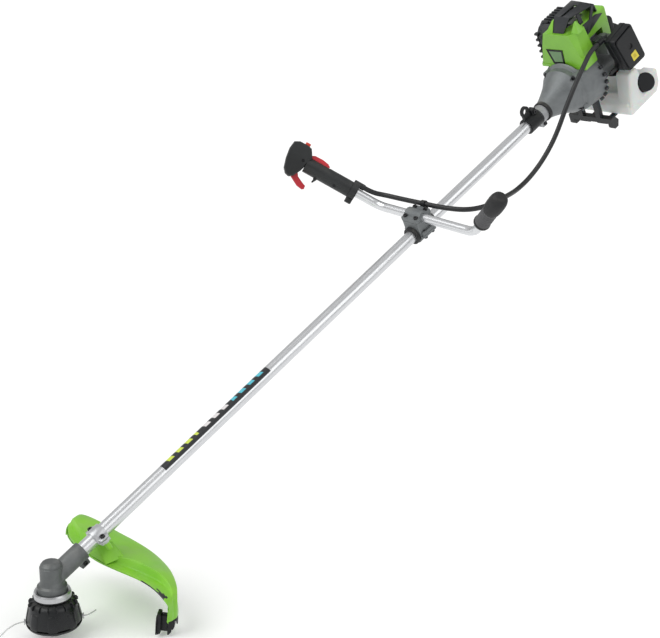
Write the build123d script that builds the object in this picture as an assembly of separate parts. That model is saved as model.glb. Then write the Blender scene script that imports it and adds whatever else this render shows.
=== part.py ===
from build123d import *
from math import atan, cos, degrees, pi, radians, sin, sqrt, tan
import os

# Petrol string trimmer with a handlebar, built as an assembly of separate pieces.
#
# The object's frame has its origin at the centre of the harness eye, +Z up, the cutting head
# towards -X and the engine towards +X. The operator's right hand is on the +Y side.
#
# Three local frames are used. HEAD has its origin where the shaft axis meets the cutting head's
# spindle, and stands upright. SHAFT shares that origin and is tilted so that its X axis runs up
# the tube. BAR sits on the tube under the handlebar, rolled a little about the tube.

os.makedirs("parts", exist_ok=True)

# ---- overall sizes, millimetres and degrees -------------------------------------------------
SHAFT_RISE = 28.0            # slope of the tube when the cutting head is level
TUBE_OD = 26.0
TUBE_WALL = 1.5
TUBE_START = 30.0            # distances along the shaft start at the spindle axis
EYE_AT = 1402.0              # harness eye, along the shaft
EYE_HEIGHT = 34.0            # harness eye, above the shaft axis
EYE_BORE = 13.0
DRIVE_D = 8.0
ENGINE_AT = 1460.0           # front face of the clutch housing, along the shaft

# ---- clearances ------------------------------------------------------------------------------
RUN = 0.04                   # running fit, on the radius
SEAT = 0.05                  # seat of a piece that doesn't turn, on the radius
GAP = 0.3                    # between soft or curved neighbours
SCREW_CLEAR = 0.15           # drilled hole round a screw, on the radius

# ---- gearbox ---------------------------------------------------------------------------------
GEAR_TEETH = 19
PINION_TEETH = 14
GEAR_R = 13.0                # outer pitch radius of the spindle gear
GEAR_FACE = 6.5              # tooth length along the pitch cone
GEAR_CLEAR = 0.2             # teeth are cut back from the pitch cone by this
CASE_R = 20.0
CASE_WALL = 4.0
CASE_TOP = 34.0
FLANGE_R = 26.0
FLANGE_BOTTOM = -22.0
NECK_R = 17.5
NECK_END = 72.0
SPINDLE_R = 6.0
SPINDLE_TIP_R = 5.0

# ---- line head -------------------------------------------------------------------------------
HEAD_R = 49.5
HEAD_TOP = -36.0
HEAD_BELT = -76.0            # height where the head is widest
HEAD_FLOOR = -88.0
HEAD_WALL = 3.0
KNOB_R = 28.0
KNOB_BOTTOM = -99.0
KNOB_TRAVEL = 5.0
LINE_D = 2.4
LINE_EXIT_ANGLE = 150.0      # bearing of the first line exit, the other is opposite

# ---- guard -----------------------------------------------------------------------------------
GUARD_R = 212.0
GUARD_WALL = 2.6
GUARD_DEPTH = 60.0
GUARD_FROM = -54.0           # bearings about the spindle
GUARD_TO = 44.5
GUARD_FLARE = 9.0            # how far the rim's wall leans out at its lower edge
GUARD_FRONT = 98.0           # front edge at the left end, distance from the spindle
GUARD_ROLL = 8.0             # the guard is clamped a little over to the left
BRACKET_AT = 110.0
BRACKET_W = 26.0
BRACKET_WALL = 3.5

# ---- handlebar -------------------------------------------------------------------------------
BAR_AT = 1024.4
BAR_HEIGHT = 31.0
BAR_OD = 19.0
BAR_WALL = 1.6
BAR_ROLL = 3.6
BAR_BEND_R = 42.0
RIGHT_CORNER = 104.0
LEFT_CORNER = -154.0
RIGHT_DIR = (-0.310, 0.668, 0.677)
LEFT_DIR = (0.029, -0.665, 0.746)
RIGHT_END = 150.0            # tube end, from the corner
LEFT_END = 130.0
SLEEVE_WALL = 2.0
CLAMP_HALF = 21.0

# ---- engine, distances from ENGINE_AT along the shaft ------------------------------------------
HOUSING_L = 85.0
DRUM_R = 38.0
FLANGE_ENGINE_R = 54.0
FAN_R = 52.0
FAN_CASE_R = 68.0
FAN_CASE_L = 57.0
CRANKCASE_R = 44.0
CRANKCASE_L = 66.0
BORE_R = 20.0
STROKE = 32.0
FIN_R = 33.0
CRANK_R = 7.5
STARTER_R = 60.0
REEL_R = 38.0
ROPE_D = 3.5
PULL = 60.0

CABLE_D = 10.4

# ---- frames ----------------------------------------------------------------------------------
RISE = radians(SHAFT_RISE)
GEAR_X = -(EYE_AT * cos(RISE) - EYE_HEIGHT * sin(RISE))
GEAR_Z = -(EYE_AT * sin(RISE) + EYE_HEIGHT * cos(RISE))
HEAD = Location((GEAR_X, 0, GEAR_Z))
TILT = Rot(0, -SHAFT_RISE, 0)
SHAFT = HEAD * TILT
BAR = SHAFT * Pos(BAR_AT, 0, 0) * Rot(BAR_ROLL, 0, 0)
GUARD = HEAD * TILT * Rot(GUARD_ROLL, 0, 0) * Rot(0, SHAFT_RISE, 0)

TUBE_R = TUBE_OD / 2
TUBE_END = ENGINE_AT + 18
BAR_R = BAR_OD / 2
DRIVE_R = DRIVE_D / 2

# engine stations along the shaft
FLANGE_X = ENGINE_AT + HOUSING_L
FAN_END = FLANGE_X + FAN_CASE_L
CRANK_END = FAN_END + CRANKCASE_L
CYLINDER_X = FAN_END + CRANKCASE_L / 2 + 1
FAN_X = FLANGE_X + 18
HOOD_SEAT = 46.0
STARTER_X = CRANK_END + 24
STARTER_L = 52.0
TDC = 101.0
PISTON_H = 30.0

BASE = (Align.CENTER, Align.CENTER, Align.MIN)


# ---- small helpers ---------------------------------------------------------------------------
def rod_z(r, z0, z1):
    return Pos(0, 0, z0) * Cylinder(r, z1 - z0, align=BASE)


def ring_z(outer, inner, z0, z1):
    return rod_z(outer, z0, z1) - rod_z(inner, z0 - 1, z1 + 1)


def rod_x(r, x0, x1):
    return Pos(x0, 0, 0) * Rot(0, 90, 0) * Cylinder(r, x1 - x0, align=BASE)


def ring_x(outer, inner, x0, x1):
    return rod_x(outer, x0, x1) - rod_x(inner, x0 - 1, x1 + 1)


def rod_y(r, y0, y1):
    return Pos(0, y0, 0) * Rot(-90, 0, 0) * Cylinder(r, y1 - y0, align=BASE)


def block(x0, x1, y0, y1, z0, z1):
    centre = Pos((x0 + x1) / 2, (y0 + y1) / 2, (z0 + z1) / 2)
    return centre * Box(abs(x1 - x0), abs(y1 - y0), abs(z1 - z0))


def soft_block(x0, x1, y0, y1, z0, z1, radius):
    box = block(x0, x1, y0, y1, z0, z1)
    return fillet(box.edges(), radius)


def turned_z(profile, arc=360.0):
    """Body of revolution about Z from (radius, height) points, starting on +X."""
    face = make_face(Polyline([(r, 0, z) for r, z in profile], close=True))
    return revolve(face, Axis.Z, arc)


def turned_x(profile):
    """Body of revolution about X from (station, radius) points."""
    face = make_face(Polyline([(x, r, 0) for x, r in profile], close=True))
    return revolve(face, Axis.X, 360)


def slab_y(profile, y0, y1):
    """Plate with an outline of (x, z) points, from y0 to y1."""
    face = make_face(Polyline([(x, y0, z) for x, z in profile], close=True))
    return extrude(face, amount=y1 - y0, dir=(0, 1, 0))


def slab_x(profile, x0, x1):
    """Plate with an outline of (y, z) points, from x0 to x1."""
    face = make_face(Polyline([(x0, y, z) for y, z in profile], close=True))
    return extrude(face, amount=x1 - x0, dir=(1, 0, 0))


def slab_z(profile, z0, z1):
    """Plate with an outline of (x, y) points, from z0 to z1."""
    face = make_face(Polyline([(x, y, z0) for x, y in profile], close=True))
    return extrude(face, amount=z1 - z0, dir=(0, 0, 1))


def save(name, place, *shapes):
    """Write one node: its pieces stay separate solids."""
    solids = [solid for shape in shapes for solid in (place * shape).solids()]
    export_step(solids[0] if len(solids) == 1 else Compound(solids), f"parts/{name}.step")


# ---- screws: each is (place, shank radius, length, head radius, head height) ------------------
FACE_UP = Rot(0, 0, 0)                       # head towards local +Z
FACE_LEFT = Rot(90, 0, 0)                    # head towards local -Y
FACE_FRONT = Rot(0, -90, 0)                  # head towards local -X
FACE_REAR = Rot(0, 90, 0)                    # head towards local +X
CLAMP_BOLT = (2.5, 24.0, 4.5, 4.0)
SCREWS = {}


def add_screw(name, place, size):
    SCREWS.setdefault(name, []).append((place, size))


def screw_body(place, size):
    shank_r, length, head_r, head_h = size
    head = chamfer(rod_z(head_r, 0, head_h).edges().group_by(Axis.Z)[-1], 0.4)
    socket = extrude(RegularPolygon(head_r * 0.45, 6), amount=head_h * 0.6)
    return place * (head + rod_z(shank_r, -length, 0) - Pos(0, 0, head_h * 0.45) * socket)


def drilled(shape, name):
    """Cut clearance for every screw of a group out of a piece, heads included."""
    for place, (shank_r, length, head_r, head_h) in SCREWS[name]:
        hole = rod_z(shank_r + SCREW_CLEAR, -length - SCREW_CLEAR, 0.01)
        seat = rod_z(head_r + SCREW_CLEAR, 0, head_h + 30)
        shape = shape - place * (hole + seat)
    return shape


# ---- cutting head: gearbox ---------------------------------------------------------------------
ANGLE = radians(90 - SHAFT_RISE)
PINION_CONE = degrees(
    atan(sin(ANGLE) / (GEAR_TEETH / PINION_TEETH + cos(ANGLE))))
GEAR_CONE = 90 - SHAFT_RISE - PINION_CONE
CONE_LENGTH = GEAR_R / sin(radians(GEAR_CONE))
GEAR_Z1 = CONE_LENGTH * cos(radians(GEAR_CONE))
PINION_X1 = CONE_LENGTH * cos(radians(PINION_CONE))
BEARING_W = 7.0
PINION_BEARING_X = 21.5
TOP_BEARING_Z = 19.5
LOW_BEARING_Z = FLANGE_BOTTOM
EAR_AT = NECK_END - 10

add_screw("gearbox", SHAFT * Pos(EAR_AT, -7, -TUBE_R - 7) * FACE_LEFT, (2.5, 15.0, 4.2, 3.5))


def bevel(teeth, cone, hub_r):
    """Bevel gear on +Z with its apex at the origin, teeth cut back clear of the pitch cone."""
    half = radians(cone)
    outer, inner = CONE_LENGTH, CONE_LENGTH - GEAR_FACE
    r1, z1 = outer * sin(half) - GEAR_CLEAR, outer * cos(half)
    r0, z0 = inner * sin(half) - GEAR_CLEAR, inner * cos(half)
    blank = turned_z([(hub_r, z0), (r0, z0), (r1, z1), (r1 * 0.8, z1 + 1.2), (hub_r, z1 + 1.2)])
    width = pi * r1 / teeth * 0.5
    notch = Pos(r1 + 0.3, 0, z1) * Rot(0, cone, 0) * Box(2.4, width, 3 * GEAR_FACE)
    for tooth in range(teeth):
        blank = blank - Rot(0, 0, 360 * tooth / teeth) * notch
    return blank


def gearbox_housing():
    dome = [(0, CASE_TOP), (12, CASE_TOP), (15, CASE_TOP - 1.5), (CASE_R - 1.5, CASE_TOP - 6),
            (CASE_R - 1.5, CASE_TOP - 9), (CASE_R, CASE_TOP - 10), (CASE_R, -2),
            (FLANGE_R - 4, -8), (FLANGE_R, -11), (FLANGE_R, FLANGE_BOTTOM),
            (0, FLANGE_BOTTOM)]
    neck = rod_x(NECK_R, 0, NECK_END)
    ears = soft_block(EAR_AT - 9, EAR_AT + 9, -8, 8, -TUBE_R - 14, -TUBE_R + 2, 1.5)
    shape = turned_z(dome) + TILT * (neck + ears)
    shape -= rod_z(CASE_R - CASE_WALL, LOW_BEARING_Z + 10, GEAR_Z1 + 1.5)
    shape -= rod_z(8, GEAR_Z1, TOP_BEARING_Z + BEARING_W)
    shape -= rod_z(12, LOW_BEARING_Z - 1, LOW_BEARING_Z + 11)
    shape -= TILT * rod_x(11, 4, PINION_BEARING_X + BEARING_W)
    shape -= TILT * rod_x(9, PINION_BEARING_X, TUBE_START + 1)
    shape -= TILT * rod_x(TUBE_R + SEAT, TUBE_START, NECK_END + 1)
    shape -= TILT * block(NECK_END - 26, NECK_END + 1, -0.8, 0.8, -TUBE_R - 15, -TUBE_R + 2)
    return drilled(HEAD * shape, "gearbox")


def bearings():
    """Ball bearings of the gearbox, clutch and crankshaft, and the drive shaft's bushes."""
    top = ring_z(8, 4 + RUN, TOP_BEARING_Z, TOP_BEARING_Z + BEARING_W)
    low = ring_z(12, SPINDLE_R + RUN, LOW_BEARING_Z, LOW_BEARING_Z + 10)
    pinion = TILT * ring_x(11, DRIVE_R + RUN, PINION_BEARING_X, PINION_BEARING_X + BEARING_W)
    rings = [HEAD * ring for ring in (top, low, pinion)]
    rings.append(SHAFT * ring_x(15, 8 + RUN, ENGINE_AT + 24, ENGINE_AT + 34))
    for station in (FAN_END + 2, CRANK_END - 12):
        rings.append(SHAFT * ring_x(17, CRANK_R + RUN, station, station + 10))
    for bush in range(5):
        station = 160 + bush * 275
        rings.append(SHAFT * ring_x(TUBE_R - TUBE_WALL, DRIVE_R + RUN, station, station + 30))
    return rings


def output_spindle():
    profile = [(0, 26.3), (4, 26.3), (4, TOP_BEARING_Z - 0.3), (SPINDLE_R, TOP_BEARING_Z - 0.3),
               (SPINDLE_R, HEAD_TOP), (SPINDLE_TIP_R, HEAD_TOP), (SPINDLE_TIP_R, HEAD_TOP - 26),
               (0, HEAD_TOP - 26)]
    return turned_z(profile), bevel(GEAR_TEETH, GEAR_CONE, SPINDLE_R)


def blade_flange():
    """Dished steel flange that the line head is screwed up against."""
    top = FLANGE_BOTTOM - 1
    profile = [(SPINDLE_R, top - 3), (FLANGE_R - 2, top - 3), (FLANGE_R + 1, top + 2),
               (FLANGE_R + 5, top + 3), (FLANGE_R + 6.5, top), (FLANGE_R + 6.5, top - 8),
               (FLANGE_R + 3, HEAD_TOP), (SPINDLE_R, HEAD_TOP)]
    return turned_z(profile)


# ---- cutting head: line head -------------------------------------------------------------------
def line_head_housing():
    """Line head shell with the hub it screws on by, and its snap-on lower cover."""
    outside = [(0, HEAD_TOP), (34, HEAD_TOP), (40, HEAD_TOP - 2), (44, HEAD_TOP - 7),
               (45.5, HEAD_TOP - 22), (HEAD_R, HEAD_BELT + 5), (HEAD_R, HEAD_BELT - 4),
               (0, HEAD_BELT - 4)]
    inside = [(12, HEAD_TOP - 12), (37, HEAD_TOP - 12), (41, HEAD_TOP - 16),
              (42, HEAD_TOP - 22), (HEAD_R - HEAD_WALL, HEAD_BELT + 5),
              (HEAD_R - HEAD_WALL, HEAD_BELT - 5), (12, HEAD_BELT - 5)]
    shell = turned_z(outside) - turned_z(inside)
    shell -= rod_z(SPINDLE_TIP_R + SEAT, HEAD_TOP - 26.5, HEAD_TOP + 1)
    shell -= rod_z(15, HEAD_BELT - 5, HEAD_TOP - 27)
    for angle in (LINE_EXIT_ANGLE, LINE_EXIT_ANGLE + 180):
        shell -= Rot(0, 0, angle) * Pos(0, 0, HEAD_BELT) * rod_x(4 + SEAT, HEAD_R - 8, HEAD_R + 3)
    cover_in = [(KNOB_R + 0.6, HEAD_FLOOR), (KNOB_R + 0.6, HEAD_FLOOR + 3),
                (KNOB_R + 6, HEAD_FLOOR + 3), (KNOB_R + 8, HEAD_BELT - 4)]
    cover_out = [(HEAD_R - 0.8, HEAD_BELT - 4), (HEAD_R - 3, HEAD_BELT - 8),
                 (HEAD_R - 12, HEAD_FLOOR)]
    return shell, turned_z(cover_in + cover_out)


def line_spool():
    """Spool with its two flanges, and the stored line wound on it."""
    top, bottom = HEAD_TOP - 14, HEAD_BELT
    core = ring_z(18, 12 + SEAT, bottom, top)
    flanges = ring_z(36, 12 + SEAT, top - 2.5, top) + ring_z(43, 12 + SEAT, bottom, bottom + 2.5)
    wound = ring_z(33, 18 + SEAT, bottom + 2.6, top - 2.6)
    return core + flanges, wound


def bump_knob():
    rim_z = HEAD_FLOOR + 3.1
    profile = [(0, KNOB_BOTTOM), (KNOB_R - 7, KNOB_BOTTOM), (KNOB_R - 2, KNOB_BOTTOM + 3),
               (KNOB_R, KNOB_BOTTOM + 8), (KNOB_R, rim_z), (KNOB_R + 3, rim_z),
               (KNOB_R + 3, rim_z + 2.4), (KNOB_R - 4, rim_z + 2.4),
               (KNOB_R - 4, KNOB_BOTTOM + 5), (0, KNOB_BOTTOM + 5)]
    shape = turned_z(profile)
    groove = Pos(KNOB_R + 2.2, 0, 0) * rod_z(4, KNOB_BOTTOM - 1, HEAD_FLOOR - KNOB_TRAVEL - 1)
    for lobe in range(8):
        shape -= Rot(0, 0, 45 * lobe) * groove
    return shape


SPRING_R = 9.0
SPRING_WIRE = 0.8


def head_spring():
    """Spring that pushes the bump knob down, drawn at its working length."""
    low = KNOB_BOTTOM + 5 + SPRING_WIRE + 0.05
    high = HEAD_TOP - 27 - SPRING_WIRE
    turns = 6
    coil = Helix(pitch=(high - low) / turns, height=high - low, radius=SPRING_R)
    section = Plane(origin=coil @ 0, z_dir=coil % 0) * Circle(SPRING_WIRE)
    return Pos(0, 0, low) * sweep(section, path=coil)


def line_eyelets():
    eye = ring_x(4, LINE_D / 2 + GAP, HEAD_R - HEAD_WALL - 0.5, HEAD_R + 0.6)
    eye += ring_x(5.4, LINE_D / 2 + GAP, HEAD_R + 0.1, HEAD_R + 1.8)
    low = Pos(0, 0, HEAD_BELT)
    return [Rot(0, 0, LINE_EXIT_ANGLE + turn) * low * eye for turn in (0, 180)]


# ---- cords -------------------------------------------------------------------------------------
def cord(name, points, diameter):
    """Tube of straight runs joined by tangent arcs; prints its radii and checks its volume."""
    points = [Vector(*p) for p in points]
    radii = []
    for before, here, after in zip(points, points[1:], points[2:]):
        first, second = here - before, after - here
        turn = first.get_angle(second)
        shorter = min(first.length, second.length)
        radii.append(0.45 * shorter / tan(radians(turn / 2)))
    path = FilletPolyline(*points, radius=radii)
    section = Plane(origin=path @ 0, z_dir=path % 0) * Circle(diameter / 2)
    tube = sweep(section, path=path)
    expected = pi * diameter ** 2 / 4 * path.length
    print(f"{name}: length {path.length:.1f}, volume ratio {tube.volume / expected:.4f}, "
          f"radii {[round(r) for r in radii]}")
    return tube


INSIDE_RIM = HEAD_R - 3.5
LONG_LINE = [(INSIDE_RIM, 0, 0), (INSIDE_RIM + 12, 0, 0), (INSIDE_RIM + 27, 3, -4),
             (INSIDE_RIM + 42, 6, -14), (INSIDE_RIM + 55, 8, -28)]
SHORT_LINE = [(INSIDE_RIM, 0, 0), (INSIDE_RIM + 10, 0, 0), (INSIDE_RIM + 20, 6, 1),
              (INSIDE_RIM + 27, 14, 1)]
CABLE_ROUTE = [
    (1599, -72, 86), (1574, -72, 86), (1536, -78, 76), (1488, -83, 58), (1438, -83, 28),
    (1392, -79, -10), (1344, -73, -37), (1292, -70, -50), (1240, -75, -45), (1190, -93, -22),
    (1146, -109, 1), (1108, -112, 14), (1075, -95, 27), (1059, -52, 36), (1055, 2, 40),
    (1051, 54, 44), (1045, 98, 51)]


def trimmer_line(name, points, angle):
    return Rot(0, 0, angle) * Pos(0, 0, HEAD_BELT) * cord(name, points, LINE_D)


# ---- guard -------------------------------------------------------------------------------------
BRACKET_EAR = 19.5
PAD_TOP = -TUBE_R - BRACKET_WALL - 0.5
for side in (-1, 1):
    add_screw("guard", SHAFT * Pos(BRACKET_AT, side * BRACKET_EAR, 4.5) * FACE_UP,
              (2.5, 24.0, 4.4, 4.0))
RIM_TOP = -13.0
CUTTER_BEARING = -49.0
CUTTER_FRAME = GUARD * Rot(0, 0, CUTTER_BEARING)


def rim_radius(height):
    """Outer radius of the guard's leaning wall at a height."""
    return GUARD_R + GUARD_FLARE * (RIM_TOP - height) / (RIM_TOP + GUARD_DEPTH)


for height in (-43.0, -53.0):
    add_screw("cutter", CUTTER_FRAME * Pos(rim_radius(height) - 0.6, 0, height) * FACE_REAR,
              (1.8, 12.0, 3.2, 2.0))


def saddle_mound(inset):
    """Tapered mound from the guard's deck up to the clamp, or the hollow inside it."""
    half, side = BRACKET_W / 2 + 2 - inset, BRACKET_EAR + 7 - inset
    foot = GUARD * Pos(GUARD_FRONT + 31, -14, 0) * Rectangle(54 - 2 * inset, 96 - 2 * inset)
    seat = SHAFT * Pos(BRACKET_AT, 0, PAD_TOP - inset) * Rectangle(2 * half, 2 * side)
    return loft([foot.face(), seat.face()])


def guard_shield():
    """Fan-shaped shield with a leaning rim, a stiffening ridge and a saddle under the tube."""
    w, foot = GUARD_WALL, rim_radius(-GUARD_DEPTH)
    outside = [(70, 6), (140, 6), (152, 9.5), (172, 9), (184, 4), (200, 1),
               (GUARD_R - 2, RIM_TOP + 8), (GUARD_R, RIM_TOP), (foot, -GUARD_DEPTH)]
    inside = [(foot - w, -GUARD_DEPTH), (GUARD_R - w, RIM_TOP - 1), (GUARD_R - 4, RIM_TOP + 5),
              (199, 1 - w), (183, 4 - w), (171.5, 9 - w), (152.5, 9.5 - w), (140.5, 6 - w),
              (70, 6 - w)]
    fan = Rot(0, 0, GUARD_FROM) * turned_z(outside + inside, GUARD_TO - GUARD_FROM)
    leg = slab_y([(GUARD_R - 16, 0), (GUARD_R - 3, RIM_TOP + 6), (foot - 1, -GUARD_DEPTH),
                  (foot - 15, -GUARD_DEPTH)], 0, w)
    near = GUARD_FRONT / cos(radians(GUARD_TO)) + 2
    left_end = slab_y([(near, 3), (181, 2), (199, -0.5), (GUARD_R - 3, RIM_TOP + 6),
                       (foot - 1, -GUARD_DEPTH), (foot - 30, -GUARD_DEPTH + 20),
                       (near, -24)], -w, 0)
    front = GUARD_FRONT
    left_y = front * tan(radians(GUARD_TO))
    edge = [(front, 25), (front + 6, -18), (front + 12, -60), (front + 15, -100)]
    right = (front + 18, -(front + 18) * tan(radians(-GUARD_FROM)))
    fan -= slab_z([(0, 200), (front, 200), *edge, right, (front + 18, -200), (0, -200)], -80, 40)
    points = [(front, left_y), *edge, right]
    lip = [(x + w, y) for x, y in reversed(points)]
    band = slab_z(points + lip, -3, 6)
    band += slab_z([(front, left_y), (front, 25), (front + w, 25), (front + w, left_y)], -24, 6)
    shape = GUARD * (fan + band + Rot(0, 0, GUARD_FROM) * leg + Rot(0, 0, GUARD_TO) * left_end)
    mound = saddle_mound(0) - GUARD * block(0, 300, -150, 150, -90, 4)
    shape = shape - saddle_mound(w) + (mound - saddle_mound(w))
    shape = drilled(drilled(shape, "cutter"), "guard")
    return max(shape.solids(), key=lambda piece: piece.volume)


def guard_skirt():
    """Black extension strip screwed inside the guard's rim."""
    gap = GUARD_WALL + 0.4
    heights = (-43.0, -58.0, -75.0)
    outer = [(rim_radius(z) - gap, z) for z in heights]
    inner = [(r - 2.4, z) for r, z in reversed(outer)]
    return Rot(0, 0, CUTTER_BEARING + 4) * turned_z(outer + inner, 56)


def line_cutter():
    """Plastic bracket at the guard's end and the steel blade that trims the line."""
    inside = [(rim_radius(z) - GUARD_WALL - 0.4, z) for z in (-38, -60)]
    base = inside[1][0]
    back = slab_y([*inside, (base + 2, -60), (base + 2, -88), (base - 9, -88), (base - 9, -38)],
                  -7, 7)
    arm = block(base - 26, base - 8, -5, 5, -82, -60)
    blade_seat = block(base - 32, base - 25, -9, 9, -89, -54)
    blade = block(base - 33.6, base - 32, -13, 13, -84, -58)
    return drilled(CUTTER_FRAME * (back + arm + blade_seat), "cutter"), CUTTER_FRAME * blade


def guard_bracket():
    """Two-part clamp that grips the tube above the guard's saddle."""
    half = BRACKET_W / 2
    ring = ring_x(TUBE_R + BRACKET_WALL, TUBE_R + SEAT, BRACKET_AT - half, BRACKET_AT + half)
    side = BRACKET_EAR + 6
    ears = block(BRACKET_AT - half, BRACKET_AT + half, -side, side, -4.5, 4.5)
    body = ring + ears - rod_x(TUBE_R + SEAT, BRACKET_AT - half - 1, BRACKET_AT + half + 1)
    foot = block(BRACKET_AT - half, BRACKET_AT + half, -side, side, PAD_TOP, -4)
    foot -= rod_x(TUBE_R + SEAT, BRACKET_AT - half - 1, BRACKET_AT + half + 1)
    split = block(BRACKET_AT - 30, BRACKET_AT + 30, -40, 40, -0.6, 0.6)
    body = body + foot - split
    return [drilled(SHAFT * piece, "guard") for piece in body.solids()]


# ---- tube and drive shaft ----------------------------------------------------------------------
def main_tube():
    return ring_x(TUBE_R, TUBE_R - TUBE_WALL, TUBE_START, TUBE_END)


DRUM_X = ENGINE_AT + 49


def drive_shaft():
    shaft = rod_x(DRIVE_R, CONE_LENGTH * 0.62, DRUM_X + 1)
    pinion = Rot(0, 90, 0) * bevel(PINION_TEETH, PINION_CONE, DRIVE_R)
    return shaft, pinion


def clutch_drum():
    """Drum on the drive shaft, open to the rear."""
    hub = ring_x(8, DRIVE_R, ENGINE_AT + 22, DRUM_X + 4)
    web = ring_x(DRUM_R, DRIVE_R, DRUM_X, DRUM_X + 2.5)
    rim = ring_x(DRUM_R, DRUM_R - 2.2, DRUM_X, DRUM_X + 28)
    return hub + web + rim


# ---- harness clamp and tube collar -------------------------------------------------------------
BAND_W = 38.0
BAND_X = EYE_AT - 8
COLLAR_L = 17.0
MOUNT_L = 8.0
COLLAR_X = ENGINE_AT - MOUNT_L - COLLAR_L
add_screw("harness", SHAFT * Pos(BAND_X + 28, -7, TUBE_R + 9) * FACE_LEFT, (2.5, 15.0, 4.5, 4.0))
add_screw("collar", SHAFT * Pos(COLLAR_X + 8, -6.5, -TUBE_R - 9) * FACE_LEFT,
          (2.5, 14.0, 4.5, 4.0))


def harness_clamp():
    band = ring_x(TUBE_R + 5, TUBE_R + SEAT, BAND_X, BAND_X + BAND_W)
    plate = Pos(EYE_AT, 0, EYE_HEIGHT) * rod_y(12, -3, 3)
    web = slab_y([(EYE_AT - 8, TUBE_R + 2), (EYE_AT + 20, TUBE_R + 2), (EYE_AT + 10, EYE_HEIGHT + 5),
                  (EYE_AT - 11, EYE_HEIGHT)], -3, 3)
    ears = soft_block(BAND_X + 21, BAND_X + 35, -8, 8, TUBE_R + 2, TUBE_R + 16, 2)
    shape = band + plate + web + ears
    shape -= Pos(EYE_AT, 0, EYE_HEIGHT) * rod_y(EYE_BORE / 2, -5, 5)
    shape -= rod_x(TUBE_R + SEAT, BAND_X - 1, BAND_X + BAND_W + 1)
    shape -= block(BAND_X + 18, BAND_X + BAND_W + 1, -0.7, 0.7, TUBE_R - 1, TUBE_R + 18)
    return drilled(SHAFT * shape, "harness")


def tube_collar():
    x0, x1 = COLLAR_X, COLLAR_X + COLLAR_L
    shape = rod_x(TUBE_R + 6, x0, x1)
    shape += soft_block(x0 + 1, x1 - 1, -7.5, 7.5, -TUBE_R - 16, -TUBE_R, 1.5)
    shape -= rod_x(TUBE_R + SEAT, x0 - 1, x1 + 1)
    shape -= block(x0 - 1, x1 + 1, -0.7, 0.7, -TUBE_R - 17, -TUBE_R + 1)
    return drilled(SHAFT * shape, "collar")


def rubber_mount():
    return ring_x(22.5, TUBE_R + SEAT, ENGINE_AT - MOUNT_L, ENGINE_AT)


# ---- handlebar ---------------------------------------------------------------------------------
RIGHT = Vector(*RIGHT_DIR).normalized()
LEFT = Vector(*LEFT_DIR).normalized()
RIGHT_PLACE = Vector(0, RIGHT_CORNER, BAR_HEIGHT)
LEFT_PLACE = Vector(0, LEFT_CORNER, BAR_HEIGHT)
SCREW_HEAD_Z = BAR_HEIGHT + 8.5
for along in (-1, 1):
    for across in (-1, 1):
        add_screw("bar", BAR * Pos(along * 15.5, across * 14, SCREW_HEAD_Z) * FACE_UP,
                  (2.5, 20.0, 4.3, 4.0))
    add_screw("bar_low", BAR * Pos(along * 11, 21, -7) * Rot(180, 0, 0), (2.5, 16.0, 4.3, 4.0))
    add_screw("bar_low", BAR * Pos(along * 11, -21, -7) * Rot(180, 0, 0), (2.5, 16.0, 4.3, 4.0))


def bar_path():
    ends = (RIGHT_PLACE + RIGHT * RIGHT_END, RIGHT_PLACE, LEFT_PLACE, LEFT_PLACE + LEFT * LEFT_END)
    return FilletPolyline(*ends, radius=BAR_BEND_R)


def swept_round(path, radius):
    return sweep(Plane(origin=path @ 0, z_dir=path % 0) * Circle(radius), path=path)


def handlebar_tube():
    path = bar_path()
    return swept_round(path, BAR_R) - swept_round(path, BAR_R - BAR_WALL)


def bar_clamp():
    """Middle and lower castings on the tube, and the cap over the bar."""
    grip_r = TUBE_R + SLEEVE_WALL
    outer = rod_x(grip_r + 6, -22, 22)
    seat = soft_block(-22, 22, -CLAMP_HALF, CLAMP_HALF, 6, BAR_HEIGHT + 3, 2)
    ears = soft_block(-19, 19, -27, 27, -7, 7, 2)
    body = outer + seat + ears
    body -= rod_x(grip_r + SEAT, -30, 30)
    body -= Pos(0, 0, BAR_HEIGHT) * rod_y(BAR_R + SEAT, -40, 40)
    middle = body - block(-40, 40, -40, 40, -40, 0.4) - block(-40, 40, -40, 40, BAR_HEIGHT - 0.4,
                                                              60)
    lower = body - block(-40, 40, -40, 40, -0.4, 60)
    cap = Pos(0, 0, BAR_HEIGHT) * rod_y(BAR_R + 6, -CLAMP_HALF, CLAMP_HALF)
    cap += block(-22, 22, -CLAMP_HALF, CLAMP_HALF, BAR_HEIGHT, SCREW_HEAD_Z)
    cap -= Pos(0, 0, BAR_HEIGHT) * rod_y(BAR_R + SEAT, -40, 40)
    cap -= block(-40, 40, -40, 40, -40, BAR_HEIGHT + 0.4)
    base = [drilled(drilled(BAR * piece, "bar"), "bar_low") for piece in (middle, lower)]
    return base, drilled(BAR * cap, "bar")


def bar_clamp_sleeve():
    """Rubber sleeve between the castings and the tube, with a flange at its lower end."""
    sleeve = ring_x(TUBE_R + SLEEVE_WALL, TUBE_R + SEAT, -30, 25)
    return sleeve + ring_x(TUBE_R + 6, TUBE_R + SEAT, -30, -23)


GRIP_FROM = 39.5
GRIP_PLACE = Plane(origin=tuple(LEFT_PLACE), z_dir=tuple(LEFT)).location


def left_grip():
    a = GRIP_FROM
    profile = [(BAR_R + SEAT, a), (17, a), (17.4, a + 4), (16, a + 7), (15.4, a + 47),
               (16.6, a + 53), (18, a + 62), (18.3, a + 84), (16.4, a + 98), (10.5, a + 105),
               (0, a + 106), (0, LEFT_END + 0.2), (BAR_R + SEAT, LEFT_END + 0.2)]
    return turned_z(profile)


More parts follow.
